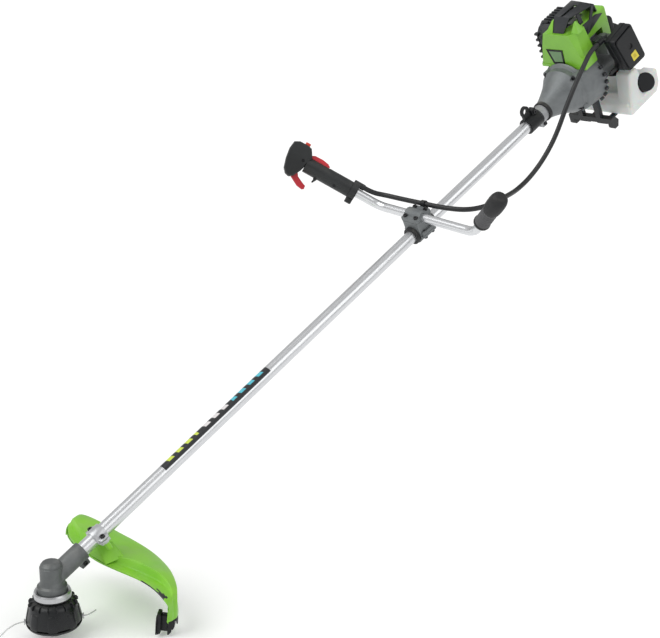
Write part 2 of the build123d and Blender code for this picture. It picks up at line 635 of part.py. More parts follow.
# ---- throttle handle: X runs along the bar tube, Y towards its top ------------------------------
SIGHT = Vector(0.44, 0.705, -0.556)
TOP = SIGHT.cross(RIGHT).normalized()
HANDLE_Z = RIGHT.cross(TOP)
HANDLE = BAR * Plane(origin=tuple(RIGHT_PLACE), x_dir=tuple(RIGHT), z_dir=tuple(HANDLE_Z)).location
HANDLE_FROM = 56.0
GRIP_R = BAR_R + 7.5
HEAD_HALF = 16.0
SLOT_HALF = 5.6
TRIGGER_PIVOT = (193.0, -23.0)
TRIGGER_SWING = 20.0
LOCK_PIVOT = (171.0, 17.5)
LOCK_SWING = 5.5
SWITCH_TRAVEL = 6.0
PIN_R = 1.6
TRIGGER_PIN = 13.5
LOCK_PIN = 9.0
CABLE_IN = (46.0, 16.5)
for at, up in ((185, 3), (104, -BAR_R - 2.5)):
    add_screw("handle", HANDLE * Pos(at, up, -HEAD_HALF + 3) * Rot(180, 0, 0), (1.6, 20.0, 3.0, 2.0))


def handle_blank():
    """Outside shape of the throttle handle, before it is split into two shells."""
    grip = rod_x(GRIP_R, HANDLE_FROM, 176)
    head = slab_z([(170, 16), (181, 33), (190, 35), (209, 35), (220, 29), (222, 14), (219, -8),
                   (213, -28), (205, -37), (196, -39), (188, -34), (179, -16)], -HEAD_HALF,
                  HEAD_HALF)
    head = chamfer(head.edges().filter_by(Axis.Z, reverse=True), 2.5)
    collar = rod_x(GRIP_R + 3, HANDLE_FROM, HANDLE_FROM + 14)
    collar += soft_block(HANDLE_FROM, HANDLE_FROM + 14, -8, -28, -8, 8, 2)
    entry = Pos(0, CABLE_IN[1], 0) * rod_x(6.5, CABLE_IN[0], HANDLE_FROM + 14)
    hook = slab_z([(140, -15), (150, -15), (148, -20), (149, -27), (146, -27), (142, -20)], -4, 4)
    return grip + head + collar + entry + hook


def handle_shells():
    shape = handle_blank()
    shape -= rod_x(BAR_R + SEAT, HANDLE_FROM - 12, RIGHT_END + 1)
    shape -= block(180, 208, -34, 28, -11, 11)
    shape -= block(184, 205, -42, -20, -SLOT_HALF, SLOT_HALF)
    shape -= block(127, 178, 10.5, 30, -SLOT_HALF, SLOT_HALF)
    shape -= block(185, 206, 30, 40, -SLOT_HALF, SLOT_HALF)
    shape -= Pos(*TRIGGER_PIVOT, 0) * rod_z(PIN_R + RUN, -TRIGGER_PIN, TRIGGER_PIN)
    shape -= Pos(*LOCK_PIVOT, 0) * rod_z(PIN_R + RUN, -LOCK_PIN, LOCK_PIN)
    near = shape - block(0, 260, -60, 60, 0, 60)
    far = shape - block(0, 260, -60, 60, -60, 0)
    return drilled(HANDLE * near, "handle"), drilled(HANDLE * far, "handle")


def throttle_trigger():
    px, py = TRIGGER_PIVOT
    outline = [(px + 6, py + 6), (px + 7, py - 5), (px + 1, py - 13), (px - 10, py - 19),
               (px - 21, py - 25), (px - 34, py - 27), (px - 38, py - 24), (px - 37, py - 17),
               (px - 27, py - 13), (px - 15, py - 7), (px - 6, py + 6)]
    half = SLOT_HALF - 0.4
    blade = slab_z(outline, -half, half)
    blade = chamfer(blade.edges().filter_by(Axis.Z, reverse=True), 1.2)
    return blade + Pos(px, py, 0) * rod_z(PIN_R, -TRIGGER_PIN + 0.1, TRIGGER_PIN - 0.1)


def lockoff_lever():
    x, y = LOCK_PIVOT
    outline = [(x + 4, y - 4), (x + 4, y + 3), (x - 4, y + 7), (x - 22, y + 7.5),
               (x - 36, y + 5), (x - 42, y + 1), (x - 41, y - 2), (x - 20, y - 1),
               (x - 4, y - 4)]
    half = SLOT_HALF - 0.4
    pin = Pos(x, y, 0) * rod_z(PIN_R, -LOCK_PIN + 0.1, LOCK_PIN - 0.1)
    return slab_z(outline, -half, half) + pin


def stop_switch():
    return soft_block(186, 197, 30.05, 41, -SLOT_HALF + 0.3, SLOT_HALF - 0.3, 1.5)


def throttle_cable():
    entry = (HANDLE * Pos(CABLE_IN[0], CABLE_IN[1], 0)).position
    before = (HANDLE * Pos(CABLE_IN[0] - 20, CABLE_IN[1], 0)).position
    route = [(SHAFT * Pos(*p)).position for p in CABLE_ROUTE] + [before, entry]
    for point in route:
        print("cable", [round(v / 1000, 4) for v in point])
    return cord("throttle_cable", [tuple(p) for p in route], CABLE_D)


def cable_clip():
    """Clip on the tube that holds the cable where it crosses over."""
    ends = [Vector(*p) for p in CABLE_ROUTE if abs(p[1]) < 60][:2]
    along = (ends[1] - ends[0]).normalized()
    middle = ends[0] + along * (-ends[0].Y / along.Y)
    place = Plane(origin=tuple(middle), z_dir=tuple(along)).location
    x0, x1 = middle.X - 4, middle.X + 4
    shape = ring_x(TUBE_R + 2.5, TUBE_R + SEAT, x0, x1)
    shape += block(x0, x1, -4, 4, TUBE_R + 1, middle.Z - 3) + place * rod_z(CABLE_D / 2 + 2, -5, 5)
    shape -= place * rod_z(CABLE_D / 2 + GAP, -12, 12)
    return shape


# ---- engine: clutch housing, fan case and crankcase ---------------------------------------------
FLANGE_SCREWS_R = FLANGE_ENGINE_R
LUG_R = 7.5
for corner in range(4):
    bearing = radians(45 + 90 * corner)
    spot = (FLANGE_X - 9, FLANGE_SCREWS_R * cos(bearing), FLANGE_SCREWS_R * sin(bearing))
    add_screw("housing", SHAFT * Pos(*spot) * FACE_FRONT, (2.5, 20.0, 4.5, 4.0))


def flange_lugs(x0, x1):
    """Ears that carry the four screws of the flange, between two stations."""
    lugs = []
    for corner in range(4):
        bearing = radians(45 + 90 * corner)
        y, z = FLANGE_SCREWS_R * cos(bearing), FLANGE_SCREWS_R * sin(bearing)
        lugs.append(Pos(0, y, z) * rod_x(LUG_R, x0, x1))
    return lugs


def clutch_housing():
    x = ENGINE_AT
    outside = [(x, 0), (x, 22), (x + 4, 23), (x + 16, 27), (x + 34, 34), (x + 50, 41),
               (x + 66, 50), (x + 72, FLANGE_ENGINE_R), (x + HOUSING_L, FLANGE_ENGINE_R),
               (x + HOUSING_L, 0)]
    shape = turned_x(outside)
    for lug in flange_lugs(FLANGE_X - 10, FLANGE_X):
        shape += lug
    shape -= rod_x(TUBE_R + SEAT, x - 1, TUBE_END + 0.2)
    shape -= rod_x(9, x + 10, x + 40)
    shape -= rod_x(15, x + 24, x + 35)
    shape -= turned_x([(x + 34, 0), (x + 34, 20), (x + 47, DRUM_R + 1), (x + 86, DRUM_R + 1),
                       (x + 86, 0)])
    return drilled(SHAFT * shape, "housing")


def fan_case():
    """Shroud round the flywheel, open at the top towards the cylinder."""
    x0, x1 = FLANGE_X, FAN_END
    outside = [(x0, 0), (x0, FLANGE_ENGINE_R), (x0 + 4, FLANGE_ENGINE_R + 4),
               (x0 + 14, FAN_CASE_R - 4), (x1, FAN_CASE_R), (x1, 0)]
    shape = turned_x(outside)
    for lug in flange_lugs(x0, x0 + 12.5):
        shape += lug
    shape -= block(x0 + 8, x1 - 10, -90, 90, HOOD_SEAT, 90)
    shape -= block(x1 - 11, x1 + 1, -90, -38, HOOD_SEAT, 90)
    shape -= block(x1 - 11, x1 + 1, 38, 90, HOOD_SEAT, 90)
    shape -= rod_x(DRUM_R + 1, x0 - 1, x0 + 6)
    shape -= rod_x(FAN_R + 4, x0 + 5, x1 - 10)
    shape -= rod_x(22, x1 - 12, x1 + 1)
    shape -= block(FAN_X - GAP, x1 - 10 + GAP, -16 - GAP, 16 + GAP, FAN_R, HOOD_SEAT + 1)
    return drilled(SHAFT * shape, "housing")


def crankcase():
    x0, x1 = FAN_END, CRANK_END
    shape = rod_x(CRANKCASE_R, x0, x1)
    seat = 46.0
    shape += soft_block(CYLINDER_X - 30, CYLINDER_X + 30, -30, 30, 10, seat, 3)
    shape -= rod_x(30, x0 + 14, x1 - 14)
    shape -= rod_x(17, x0 + 2, x1 - 2)
    shape -= rod_x(CRANK_R + 1, x0 - 1, x1 + 1)
    shape -= Pos(CYLINDER_X, 0, 0) * rod_z(BORE_R + 3.5, 0, seat + 5)
    return shape


def crankshaft():
    """Built-up crankshaft at top dead centre: journals, two webs and the crank pin."""
    front = rod_x(CRANK_R, DRUM_X + 10, CYLINDER_X - 5)
    rear = rod_x(CRANK_R, CYLINDER_X + 5, STARTER_X + 6)
    webs = rod_x(24, CYLINDER_X - 12, CYLINDER_X - 5) + rod_x(24, CYLINDER_X + 5, CYLINDER_X + 12)
    pin = Pos(0, 0, STROKE / 2) * rod_x(5, CYLINDER_X - 6, CYLINDER_X + 6)
    return front + rear + webs + pin


def flywheel():
    """Flywheel with cooling fan blades on its rear face."""
    x0 = FAN_X
    disc = ring_x(FAN_R, CRANK_R, x0, x0 + 8) + ring_x(14, CRANK_R, x0 - 3, x0 + 22)
    blade = block(x0 + 6, x0 + 24, -1.2, 1.2, 22, FAN_R - 1)
    for turn in range(16):
        disc += Rot(22.5 * turn, 0, 0) * blade
    return disc


def clutch_shoes():
    """Two centrifugal shoes on a hub, with the garter spring that holds them in."""
    x0 = DRUM_X + 8
    pieces = []
    for side in (1, -1):
        shoe = ring_x(DRUM_R - 3.7, 13, x0, x0 + 13)
        shoe -= block(x0 - 1, x0 + 20, -60, 60, -60, 4) if side > 0 else block(
            x0 - 1, x0 + 20, -60, 60, -4, 60)
        pieces.append(shoe)
    hub = ring_x(12.6, CRANK_R, x0, x0 + 13)
    return [*pieces, hub]


def ignition_coil():
    """Coil on the fan case with its legs just clear of the flywheel, and its lead to the plug."""
    x0 = FAN_X
    core = block(x0, FAN_END - 10, -16, 16, FAN_R + 0.6, FAN_R + 7)
    body = soft_block(x0 - 1, x0 + 14, -14, 14, FAN_R + 6, FAN_R + 32, 2)
    return core + body


# ---- engine: cylinder, piston and plug ---------------------------------------------------------
def cylinder():
    bottom, top = 46.0, 122.0
    barrel = rod_z(BORE_R + 6, bottom, top - 8)
    foot = soft_block(-29, 29, -29, 29, bottom, bottom + 6, 1.5)
    skirt = rod_z(BORE_R + 3.3, 34, bottom)
    head = rod_z(BORE_R + 2, top - 10, top)
    fins = [rod_z(FIN_R, bottom + 9 + 6.5 * i, bottom + 11 + 6.5 * i) for i in range(10)]
    shape = barrel + foot + skirt + head
    for fin in fins:
        shape += fin
    shape += block(-14, 14, -40, 0, bottom + 10, bottom + 30)
    shape += block(-14, 14, 0, 40, bottom + 18, bottom + 38)
    shape -= rod_z(BORE_R, 30, TDC + 3)
    shape -= Pos(0, 0, bottom + 20) * rod_y(8, -45, 0)
    shape -= Pos(0, 0, bottom + 28) * rod_y(9, 0, 45)
    shape -= rod_z(5 + SEAT, TDC, top + 1)
    return Pos(CYLINDER_X, 0, 0) * shape


def piston():
    low, high = TDC - PISTON_H, TDC
    shape = rod_z(BORE_R - 0.06, low, high) - rod_z(BORE_R - 3, low - 1, high - 5)
    for ring in (3.0, 7.0):
        shape -= ring_z(BORE_R + 1, BORE_R - 1.5, high - ring - 1.2, high - ring)
    shape += rod_y(5, -BORE_R + 1.5, BORE_R - 1.5).moved(Pos(0, 0, low + 12))
    return Pos(CYLINDER_X, 0, 0) * shape


def spark_plug():
    """Spark plug and the rubber cap of its lead."""
    plug = rod_z(5, TDC + 4, 122) + rod_z(9, 122, 130) + rod_z(4.5, 130, 142)
    cap = ring_z(8, 4.5 + SEAT, 131, 143) + rod_z(8, 142.5, 149)
    coil_x = FAN_X + 7 - CYLINDER_X
    route = FilletPolyline((-6, 0, 144), (-36, 0, 141), (-48, 0, 112), (coil_x, 0, 98),
                           (coil_x, 0, FAN_R + 32), radius=6)
    lead = swept_round(route, 3)
    return Pos(CYLINDER_X, 0, 0) * plug, Pos(CYLINDER_X, 0, 0) * (cap + lead)


# ---- engine: exhaust -----------------------------------------------------------------------------
EXHAUST_Y = 40.2


def muffler():
    x0, x1 = CYLINDER_X - 34, CYLINDER_X + 34
    box = soft_block(x0, x1, EXHAUST_Y + 4, 81, 46, 104, 9)
    inner = soft_block(x0 + 2, x1 - 2, EXHAUST_Y + 6, 79, 48, 102, 7)
    flange = block(CYLINDER_X - 20, CYLINDER_X + 20, EXHAUST_Y, EXHAUST_Y + 5, 62, 86)
    shape = box + flange - inner
    shape -= Pos(CYLINDER_X, 0, 74) * rod_y(9, EXHAUST_Y - 1, EXHAUST_Y + 9)
    outlet = Pos(0, 66, 60) * (rod_x(7, x0 - 6, x0 + 1))
    return shape + outlet - Pos(0, 66, 60) * rod_x(5, x0 - 8, x0 + 4)


def muffler_guard():
    """Black vented guard round the muffler."""
    x0, x1 = CYLINDER_X - 46, CYLINDER_X + 46
    y0, y1, z0, z1 = 48.0, 88.0, 28.0, 124.0
    w = 2.5
    outline = [(x0, z0), (x1, z0), (x1, z1 - 10), (x1 - 12, z1), (x0 + 26, z1), (x0, z1 - 24)]
    inner = [(x0 + w, z0 + w), (x1 - w, z0 + w), (x1 - w, z1 - 11), (x1 - 13, z1 - w),
             (x0 + 27, z1 - w), (x0 + w, z1 - 25)]
    shape = slab_y(outline, y0, y1) - slab_y(inner, y0 - 1, y1 - w)
    for row in range(8):
        slot = block(x0 + 12, x1 - 12, y1 - 4, y1 + 1, z0 + 10 + 9 * row, z0 + 14 + 9 * row)
        shape -= slot
    for row in range(6):
        shape -= block(x0 - 1, x0 + w + 1, y0 + 12, y1 - 8, z0 + 8 + 9 * row, z0 + 12 + 9 * row)
    shape -= Pos(0, 66, 60) * rod_x(8, x0 - 3, x0 + 6)
    shape -= rod_x(FAN_CASE_R + GAP, x0 - 1, FAN_END + GAP)
    shape -= block(x0 - 1, HOOD_SPLIT + GAP, 0, 59 + GAP, 0, 200)
    return shape - block(x0 - 1, HOOD_X1 + GAP, 0, 44 + GAP, 0, 200)


# ---- engine: covers --------------------------------------------------------------------------------
HOOD_X0 = FLANGE_X + 13.0
HOOD_SPLIT = FAN_END - 3.0
HOOD_X1 = CRANK_END + 22.0
HOOD_Z0 = HOOD_SEAT + 0.2
HOOD_Z1 = 129.0
HOOD_WALL = 2.5


def engine_cover():
    """Green hood: a wide faceted front and a narrower body over the cylinder."""
    w = HOOD_WALL
    front_out = [(-58, HOOD_Z0), (-60, 72), (-52, 110), (-46, HOOD_Z1), (25, HOOD_Z1),
                 (27, 147), (34, 138), (46, 96), (59, 60), (59, HOOD_Z0)]
    front_in = [(-58 + w, 0), (-60 + w, 72), (-52 + w, 110), (-46 + w, HOOD_Z1 - w),
                (26, HOOD_Z1 - w), (28, 143), (31, 136), (44 - w, 95), (59 - w, 59),
                (59 - w, 0)]
    x0, x1, x2 = HOOD_X0, HOOD_SPLIT, HOOD_X1
    outer = slab_x(front_out, x0, x1)
    cut = Pos(x0, -34, HOOD_Z1) * Rot(0, 0, 42) * Rot(0, 13.6, 0)
    cut *= Pos(-40, -50, -60) * Box(80, 120, 260)
    outer -= cut
    outer += block(x1 - 1, x2, -41, 44, HOOD_Z0 + 1, HOOD_Z1)
    inner = slab_x(front_in, x0 + w, x1 - w) - Pos(w * 0.9, w * 0.8, 0) * cut
    inner += block(x1 - 2 * w, x2 - w, -41 + w, 44 - w, 0, HOOD_Z1 - w)
    shape = outer - inner
    shape -= block(CYLINDER_X - 22, CYLINDER_X + 26, -60, -30, HOOD_Z0, 90)
    shape -= block(CYLINDER_X - 36, CYLINDER_X + 36, 30, 60, HOOD_Z0, 104)
    shape -= block(CYLINDER_X - 50, CYLINDER_X + 12, -12, 12, 100, 160)
    return shape


def top_cover():
    """Black vented cap over the spark plug."""
    z = HOOD_Z1 + 0.2
    x0, x1, w = HOOD_X0 + 6, CYLINDER_X + 30, 2.5
    side = [(x0, z), (x0 + 3, z + 21), (x0 + 46, z + 37), (x1 - 22, z + 37), (x1 - 6, z + 17),
            (x1, z)]
    front = [(24, z), (24, z + 22), (10, z + 37), (-4, z + 37), (-34, z + 18), (-50, z)]
    side_in = [(x0 + w, z - 1), (x0 + 3 + w, z + 19), (x0 + 47, z + 37 - w),
               (x1 - 23, z + 37 - w), (x1 - 6 - w, z + 16), (x1 - w, z - 1)]
    front_in = [(24 - w, z - 1), (24 - w, z + 21), (9, z + 37 - w), (-4, z + 37 - w),
                (-33 + w, z + 17 - w), (-50 + 2 * w, z - 1)]
    shape = slab_y(side, -60, 60) & slab_x(front, x0 - 5, x1 + 5)
    shape -= slab_y(side_in, -60, 60) & slab_x(front_in, x0 - 5, x1 + 5)
    for y in (-30, -12, 6):
        shape -= block(x0 + 14, x0 + 44, y, y + 9, z + 6, z + 60)
    return shape + block(HOOD_SPLIT + 2, x1 + 6, -44.2, -41.3, 97, z + 3)


# ---- engine: intake --------------------------------------------------------------------------------
CARB_Y0, CARB_Y1 = -78.0, -48.0
CASE_Y0, CASE_Y1 = -91.0, -78.2
COVER_Y = -106.0
FILTER_OUTLINE = [(1612, 84), (1682, 93), (1706, -5), (1640, -6)]
PRIMER_R = 9.0
PRIMER_TRAVEL = 4.0
CHOKE_PIVOT = (1650.0, 6.0)
CHOKE_SWING = 40.0


def shrink(outline, margin):
    """Move each corner towards the outline's centre by a margin along both axes."""
    cx = sum(p[0] for p in outline) / len(outline)
    cz = sum(p[1] for p in outline) / len(outline)
    return [(x + margin * (1 if x < cx else -1), z + margin * (1 if z < cz else -1))
            for x, z in outline]


def carburettor():
    """Insulator block and the carburettor body, with the bracket that holds the cable."""
    x = CYLINDER_X
    spacer = block(x - 16, x + 16, -48, -40.2, 54, 80) - Pos(x, 0, 66) * rod_y(8, -50, -38)
    body = soft_block(x - 18, x + 18, CARB_Y0, CARB_Y1, 48, 80, 2)
    body -= Pos(x, 0, 66) * rod_y(8, CARB_Y0 - 1, CARB_Y1 + 1)
    body += Pos(x, -62, 0) * rod_z(7, 79, 88)
    body -= Pos(x, -62, 0) * rod_z(PRIMER_R + GAP, 40, 48 + PRIMER_TRAVEL + 1.5)
    bracket = block(x - 18, x - 14, -76, -58, 70, 78)
    return spacer, body + bracket


def primer_bulb():
    x = CYLINDER_X
    place = Pos(x, -62, 48.8)
    dome = place * (Sphere(PRIMER_R) - block(-20, 20, -20, 20, 0, 20) - Sphere(PRIMER_R - 1.4))
    return dome + place * (rod_z(PRIMER_R, -0.5, 0.3) - rod_z(PRIMER_R - 2, -1, 1))


def filter_case():
    """Air filter back plate and the roof over the carburettor."""
    plate = slab_y(FILTER_OUTLINE, CASE_Y0, CASE_Y1)
    plate = fillet(plate.edges().filter_by(Axis.Y), 7)
    plate -= Pos(CYLINDER_X, 0, 66) * rod_y(8, CASE_Y0 - 1, CASE_Y1 + 1)
    recess = slab_y(shrink(FILTER_OUTLINE, 5), CASE_Y0 - 1, CASE_Y0 + 5)
    side = CASE_Y1 - 0.6
    roof = slab_x([(side, 85), (side, 91), (-44.5, 100), (-44.5, 95.5)], 1601, 1694)
    front = slab_y([(1601, 91), (1606, 78), (1611, 60), (1615, 60), (1610, 78), (1604, 93)],
                   side, -50)
    front += slab_y([(1611, 62), (1612, 46), (1630, -2), (1637, -2), (1620, 44), (1617, 47),
                     (1617, 62)], -73, -52)
    gland = Pos(0, CABLE_ROUTE[0][1], CABLE_ROUTE[0][2]) * rod_x(6.5, CABLE_ROUTE[0][0], 1602)
    rear = slab_x([(side, 60), (side, 88), (-56, 96), (-56, 70)], 1691, 1694)
    x, z = CHOKE_PIVOT
    bush = Pos(x, 0, z) * rod_y(PIN_R + RUN, CASE_Y1 - 6, CASE_Y1 + 1)
    return plate - recess + roof + front + rear + gland - bush


def filter_element():
    return slab_y(shrink(FILTER_OUTLINE, 6.5), CASE_Y0 - 9, CASE_Y0 + 4.8)


def filter_cover():
    shell = slab_y(FILTER_OUTLINE, COVER_Y, CASE_Y0 - 0.2)
    shell = fillet(shell.edges().filter_by(Axis.Y), 7)
    shell = chamfer(shell.faces().sort_by(Axis.Y)[0].edges(), 4)
    shell -= slab_y(shrink(FILTER_OUTLINE, 5), COVER_Y + 3, CASE_Y0 + 1)
    hole = Pos(1668, 0, 52) * rod_y(5, COVER_Y - 1, COVER_Y + 5)
    return shell - hole


def choke_lever():
    """Lever on the inner side of the filter case."""
    x, z = CHOKE_PIVOT
    y1 = CASE_Y1 + 3.6
    arm = slab_y([(x - 5, z + 4), (x - 40, z + 5), (x - 44, z), (x - 40, z - 4), (x - 5, z - 4)],
                 CASE_Y1 + 0.3, y1)
    return arm + Pos(x, 0, z) * (rod_y(6, CASE_Y1 + 0.3, y1) + rod_y(PIN_R, CASE_Y1 - 5.8, y1))


# ---- engine: starter --------------------------------------------------------------------------------
REEL_X = STARTER_X + 10
ROPE_Z = REEL_R - 3.0
HANDLE_Y = STARTER_R + 1.5


def starter_housing():
    """Bowl over the recoil starter, with louvres and the rope's outlet."""
    x0, x1 = CRANK_END + 22.3, CRANK_END + 22.3 + STARTER_L
    shape = turned_x([(x0, 0), (x0, STARTER_R), (x1 - 14, STARTER_R), (x1 - 4, STARTER_R - 8),
                      (x1, STARTER_R - 18), (x1, 0)])
    shape += soft_block(x0, x0 + 24, -34, 40, 30, 90, 10)
    shape += Pos(REEL_X + 7, 0, ROPE_Z) * rod_y(7, 44, HANDLE_Y - 0.05)
    shape -= turned_x([(x0 - 1, 0), (x0 - 1, STARTER_R - 3), (x1 - 15, STARTER_R - 3),
                       (x1 - 6, STARTER_R - 11), (x1 - 3, STARTER_R - 19), (x1 - 3, 0)])
    shape -= block(x0 - 1, x0 + 21, -31, 37, 30, 81)
    shape += rod_x(6, REEL_X - 1, x1 - 2)
    for turn in range(12):
        shape -= Rot(30 * turn, 0, 0) * block(x1 - 6, x1 + 2, -2, 2, 16, 36)
    shape -= Pos(REEL_X + 7, 0, ROPE_Z) * rod_y(ROPE_D / 2 + 1, 30, 80)
    return shape


def starter_reel():
    """Rope reel that turns on the housing's post, with the rope wound on it."""
    x0 = REEL_X
    reel = ring_x(REEL_R + 4, 6 + RUN, x0, x0 + 3) + ring_x(REEL_R + 4, 6 + RUN, x0 + 11, x0 + 14)
    reel += ring_x(20, 6 + RUN, x0, x0 + 14)
    rope = ring_x(REEL_R - 6, 20 + SEAT, x0 + 3.1, x0 + 10.9)
    return reel, rope


def starter_handle():
    """Pull handle against the housing, and the taut stretch of rope behind it."""
    x, y = REEL_X + 7, HANDLE_Y
    grip = soft_block(x - 8, x + 8, y, y + 20, ROPE_Z - 20, ROPE_Z + 20, 5)
    rope = Pos(x, 0, ROPE_Z) * rod_y(ROPE_D / 2, y - PULL - 4, y)
    return grip, rope


# ---- engine: fuel tank and stand -------------------------------------------------------------------
TANK_Y0, TANK_Y1 = -78.0, 60.0
TANK_FLOOR = -127.0
STAND_X = 1590.0
TANK_OUTLINE = [(1641, -127), (1744, -127), (1757, -112), (1755, -76), (1652, -76), (1634, -96)]
CAP_PLACE = Plane(origin=(1707, -68, -84), z_dir=(-0.30, -0.81, 0.50)).location
CAP_BASE = 14.0
CAP_H = 15.0
CAP_R = 21.5
NECK_BORE = 13.0


def fuel_tank():
    """Blow-moulded tank: a low body under the crankcase and a shoulder with the filler neck."""
    body = slab_y(TANK_OUTLINE, TANK_Y0, TANK_Y1)
    body = fillet(body.edges(), 6)
    shoulder = soft_block(1637, 1753, TANK_Y0, -40, -108, 10 - STARTER_R, 7)
    neck = CAP_PLACE * rod_z(NECK_BORE + 2.2, -6, CAP_BASE + 8)
    shape = body + shoulder
    shape -= CAP_PLACE * rod_z(CAP_R + 2, CAP_BASE - 1, 60)
    shape += neck
    hollow = slab_y(shrink(TANK_OUTLINE, 3), TANK_Y0 + 2.5, TANK_Y1 - 2.5)
    hollow = fillet(hollow.edges(), 4)
    shape -= hollow - CAP_PLACE * rod_z(CAP_R + 5, CAP_BASE - 4, 60)
    shape -= CAP_PLACE * rod_z(NECK_BORE, -8, CAP_BASE + 9)
    return shape


def fuel_cap():
    outer = rod_z(CAP_R, CAP_BASE, CAP_BASE + CAP_H)
    outer = fillet(outer.edges().group_by(Axis.Z)[-1], 3)
    outer -= rod_z(NECK_BORE + 2.2 + GAP, CAP_BASE - 1, CAP_BASE + 8.3)
    rib = Pos(CAP_R + 0.9, 0, 0) * rod_z(1.8, CAP_BASE + 1.5, CAP_BASE + CAP_H - 3.5)
    for turn in range(20):
        outer -= Rot(0, 0, 18 * turn) * rib
    return CAP_PLACE * outer


def tank_stand():
    """Black stand that carries the engine when the trimmer is put down."""
    low, under = TANK_FLOOR - 5, TANK_FLOOR - 0.3
    x0 = STAND_X
    shape = block(x0, x0 + 14, -60, 60, -116, -104)
    for y in (-60, 48):
        shape += slab_y([(x0, -104), (x0, low + 6), (x0 + 6, low), (x0 + 18, low), (x0 + 24, -118),
                         (x0 + 14, -104)], y, y + 12)
    for y in (-30, 18):
        shape += slab_y([(x0, -104), (x0, -118), (x0 + 18, low), (x0 + 128, low),
                         (x0 + 128, under), (x0 + 26, under), (x0 + 14, -112), (x0 + 14, -104)],
                        y, y + 12)
        shape += block(x0, FAN_END, y, y + 12, -106, -50)
    return shape - rod_x(FAN_CASE_R, FLANGE_X, FAN_END + 4)


def all_screws():
    return [screw_body(place, size) for group in SCREWS.values() for place, size in group]


# ---- write every node ------------------------------------------------------------------------------
WORLD = Location((0, 0, 0))

save("gearbox_housing", WORLD, gearbox_housing())
save("bearings", WORLD, *bearings())
save("output_spindle", HEAD, *output_spindle())
save("blade_flange", HEAD, blade_flange())
save("line_head_housing", HEAD, *line_head_housing())
save("line_spool", HEAD, *line_spool())
save("bump_knob", HEAD, bump_knob())
save("head_spring", HEAD, head_spring())
save("line_eyelets", HEAD, *line_eyelets())
save("trimmer_line_long", HEAD, trimmer_line("trimmer_line_long", LONG_LINE, LINE_EXIT_ANGLE))
save("trimmer_line_short", HEAD,
     trimmer_line("trimmer_line_short", SHORT_LINE, LINE_EXIT_ANGLE + 180))
save("guard_shield", WORLD, guard_shield())
save("guard_skirt", GUARD, guard_skirt())
save("line_cutter", WORLD, *line_cutter())
save("guard_bracket", WORLD, *guard_bracket())
save("main_tube", SHAFT, main_tube())
save("drive_shaft", SHAFT, *drive_shaft())
save("clutch_drum", SHAFT, clutch_drum())
save("harness_clamp", WORLD, harness_clamp())
save("tube_collar", WORLD, tube_collar())
save("rubber_mount", SHAFT, rubber_mount())
save("handlebar_tube", BAR, handlebar_tube())
clamp_base, clamp_cap = bar_clamp()
save("bar_clamp_base", WORLD, *clamp_base)
save("bar_clamp_cap", WORLD, clamp_cap)
save("bar_clamp_sleeve", BAR, bar_clamp_sleeve())
save("left_grip", BAR * GRIP_PLACE, left_grip())
near_shell, far_shell = handle_shells()
save("handle_shell_left", WORLD, near_shell)
save("handle_shell_right", WORLD, far_shell)
save("throttle_trigger", HANDLE, throttle_trigger())
save("lockoff_lever", HANDLE, lockoff_lever())
save("stop_switch", HANDLE, stop_switch())
save("throttle_cable", WORLD, throttle_cable())
save("cable_clip", SHAFT, cable_clip())
save("clutch_housing", WORLD, clutch_housing())
save("fan_case", WORLD, fan_case())
save("crankcase", SHAFT, crankcase())
save("crankshaft", SHAFT, crankshaft())
save("flywheel", SHAFT, flywheel())
save("clutch_shoes", SHAFT, *clutch_shoes())
save("ignition_coil", SHAFT, ignition_coil())
save("cylinder", SHAFT, cylinder())
save("piston", SHAFT, piston())
save("spark_plug", SHAFT, *spark_plug())
save("muffler", SHAFT, muffler())
save("muffler_guard", SHAFT, muffler_guard())
save("engine_cover", SHAFT, engine_cover())
save("top_cover", SHAFT, top_cover())
save("carburettor", SHAFT, *carburettor())
save("primer_bulb", SHAFT, primer_bulb())
save("filter_case", SHAFT, filter_case())
save("filter_element", SHAFT, filter_element())
save("filter_cover", SHAFT, filter_cover())
save("choke_lever", SHAFT, choke_lever())
save("starter_housing", SHAFT, starter_housing())
save("starter_reel", SHAFT, *starter_reel())
save("starter_handle", SHAFT, *starter_handle())
save("fuel_tank", SHAFT, fuel_tank())
save("fuel_cap", SHAFT, fuel_cap())
save("tank_stand", SHAFT, tank_stand())
save("screws", WORLD, *all_screws())
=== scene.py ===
# %% [markdown]
# # A petrol string trimmer
#
# A string trimmer hangs from a shoulder strap. A small two-stroke engine at the top end drives
# a thin shaft inside a long aluminium tube, and the shaft turns a head of nylon line at the
# bottom end. The operator steers it with a handlebar clamped across the tube.
#
# The CAD model is loaded as a fixed frame: each of its pieces already stands in its place.
# This script gives every piece its finish, and models again those
# pieces whose real shape is softer or richer than the CAD solid.

# %% Load the CAD frame
import bpy
import bmesh
from math import atan2, cos, pi, radians, sin
from mathutils import Matrix, Vector


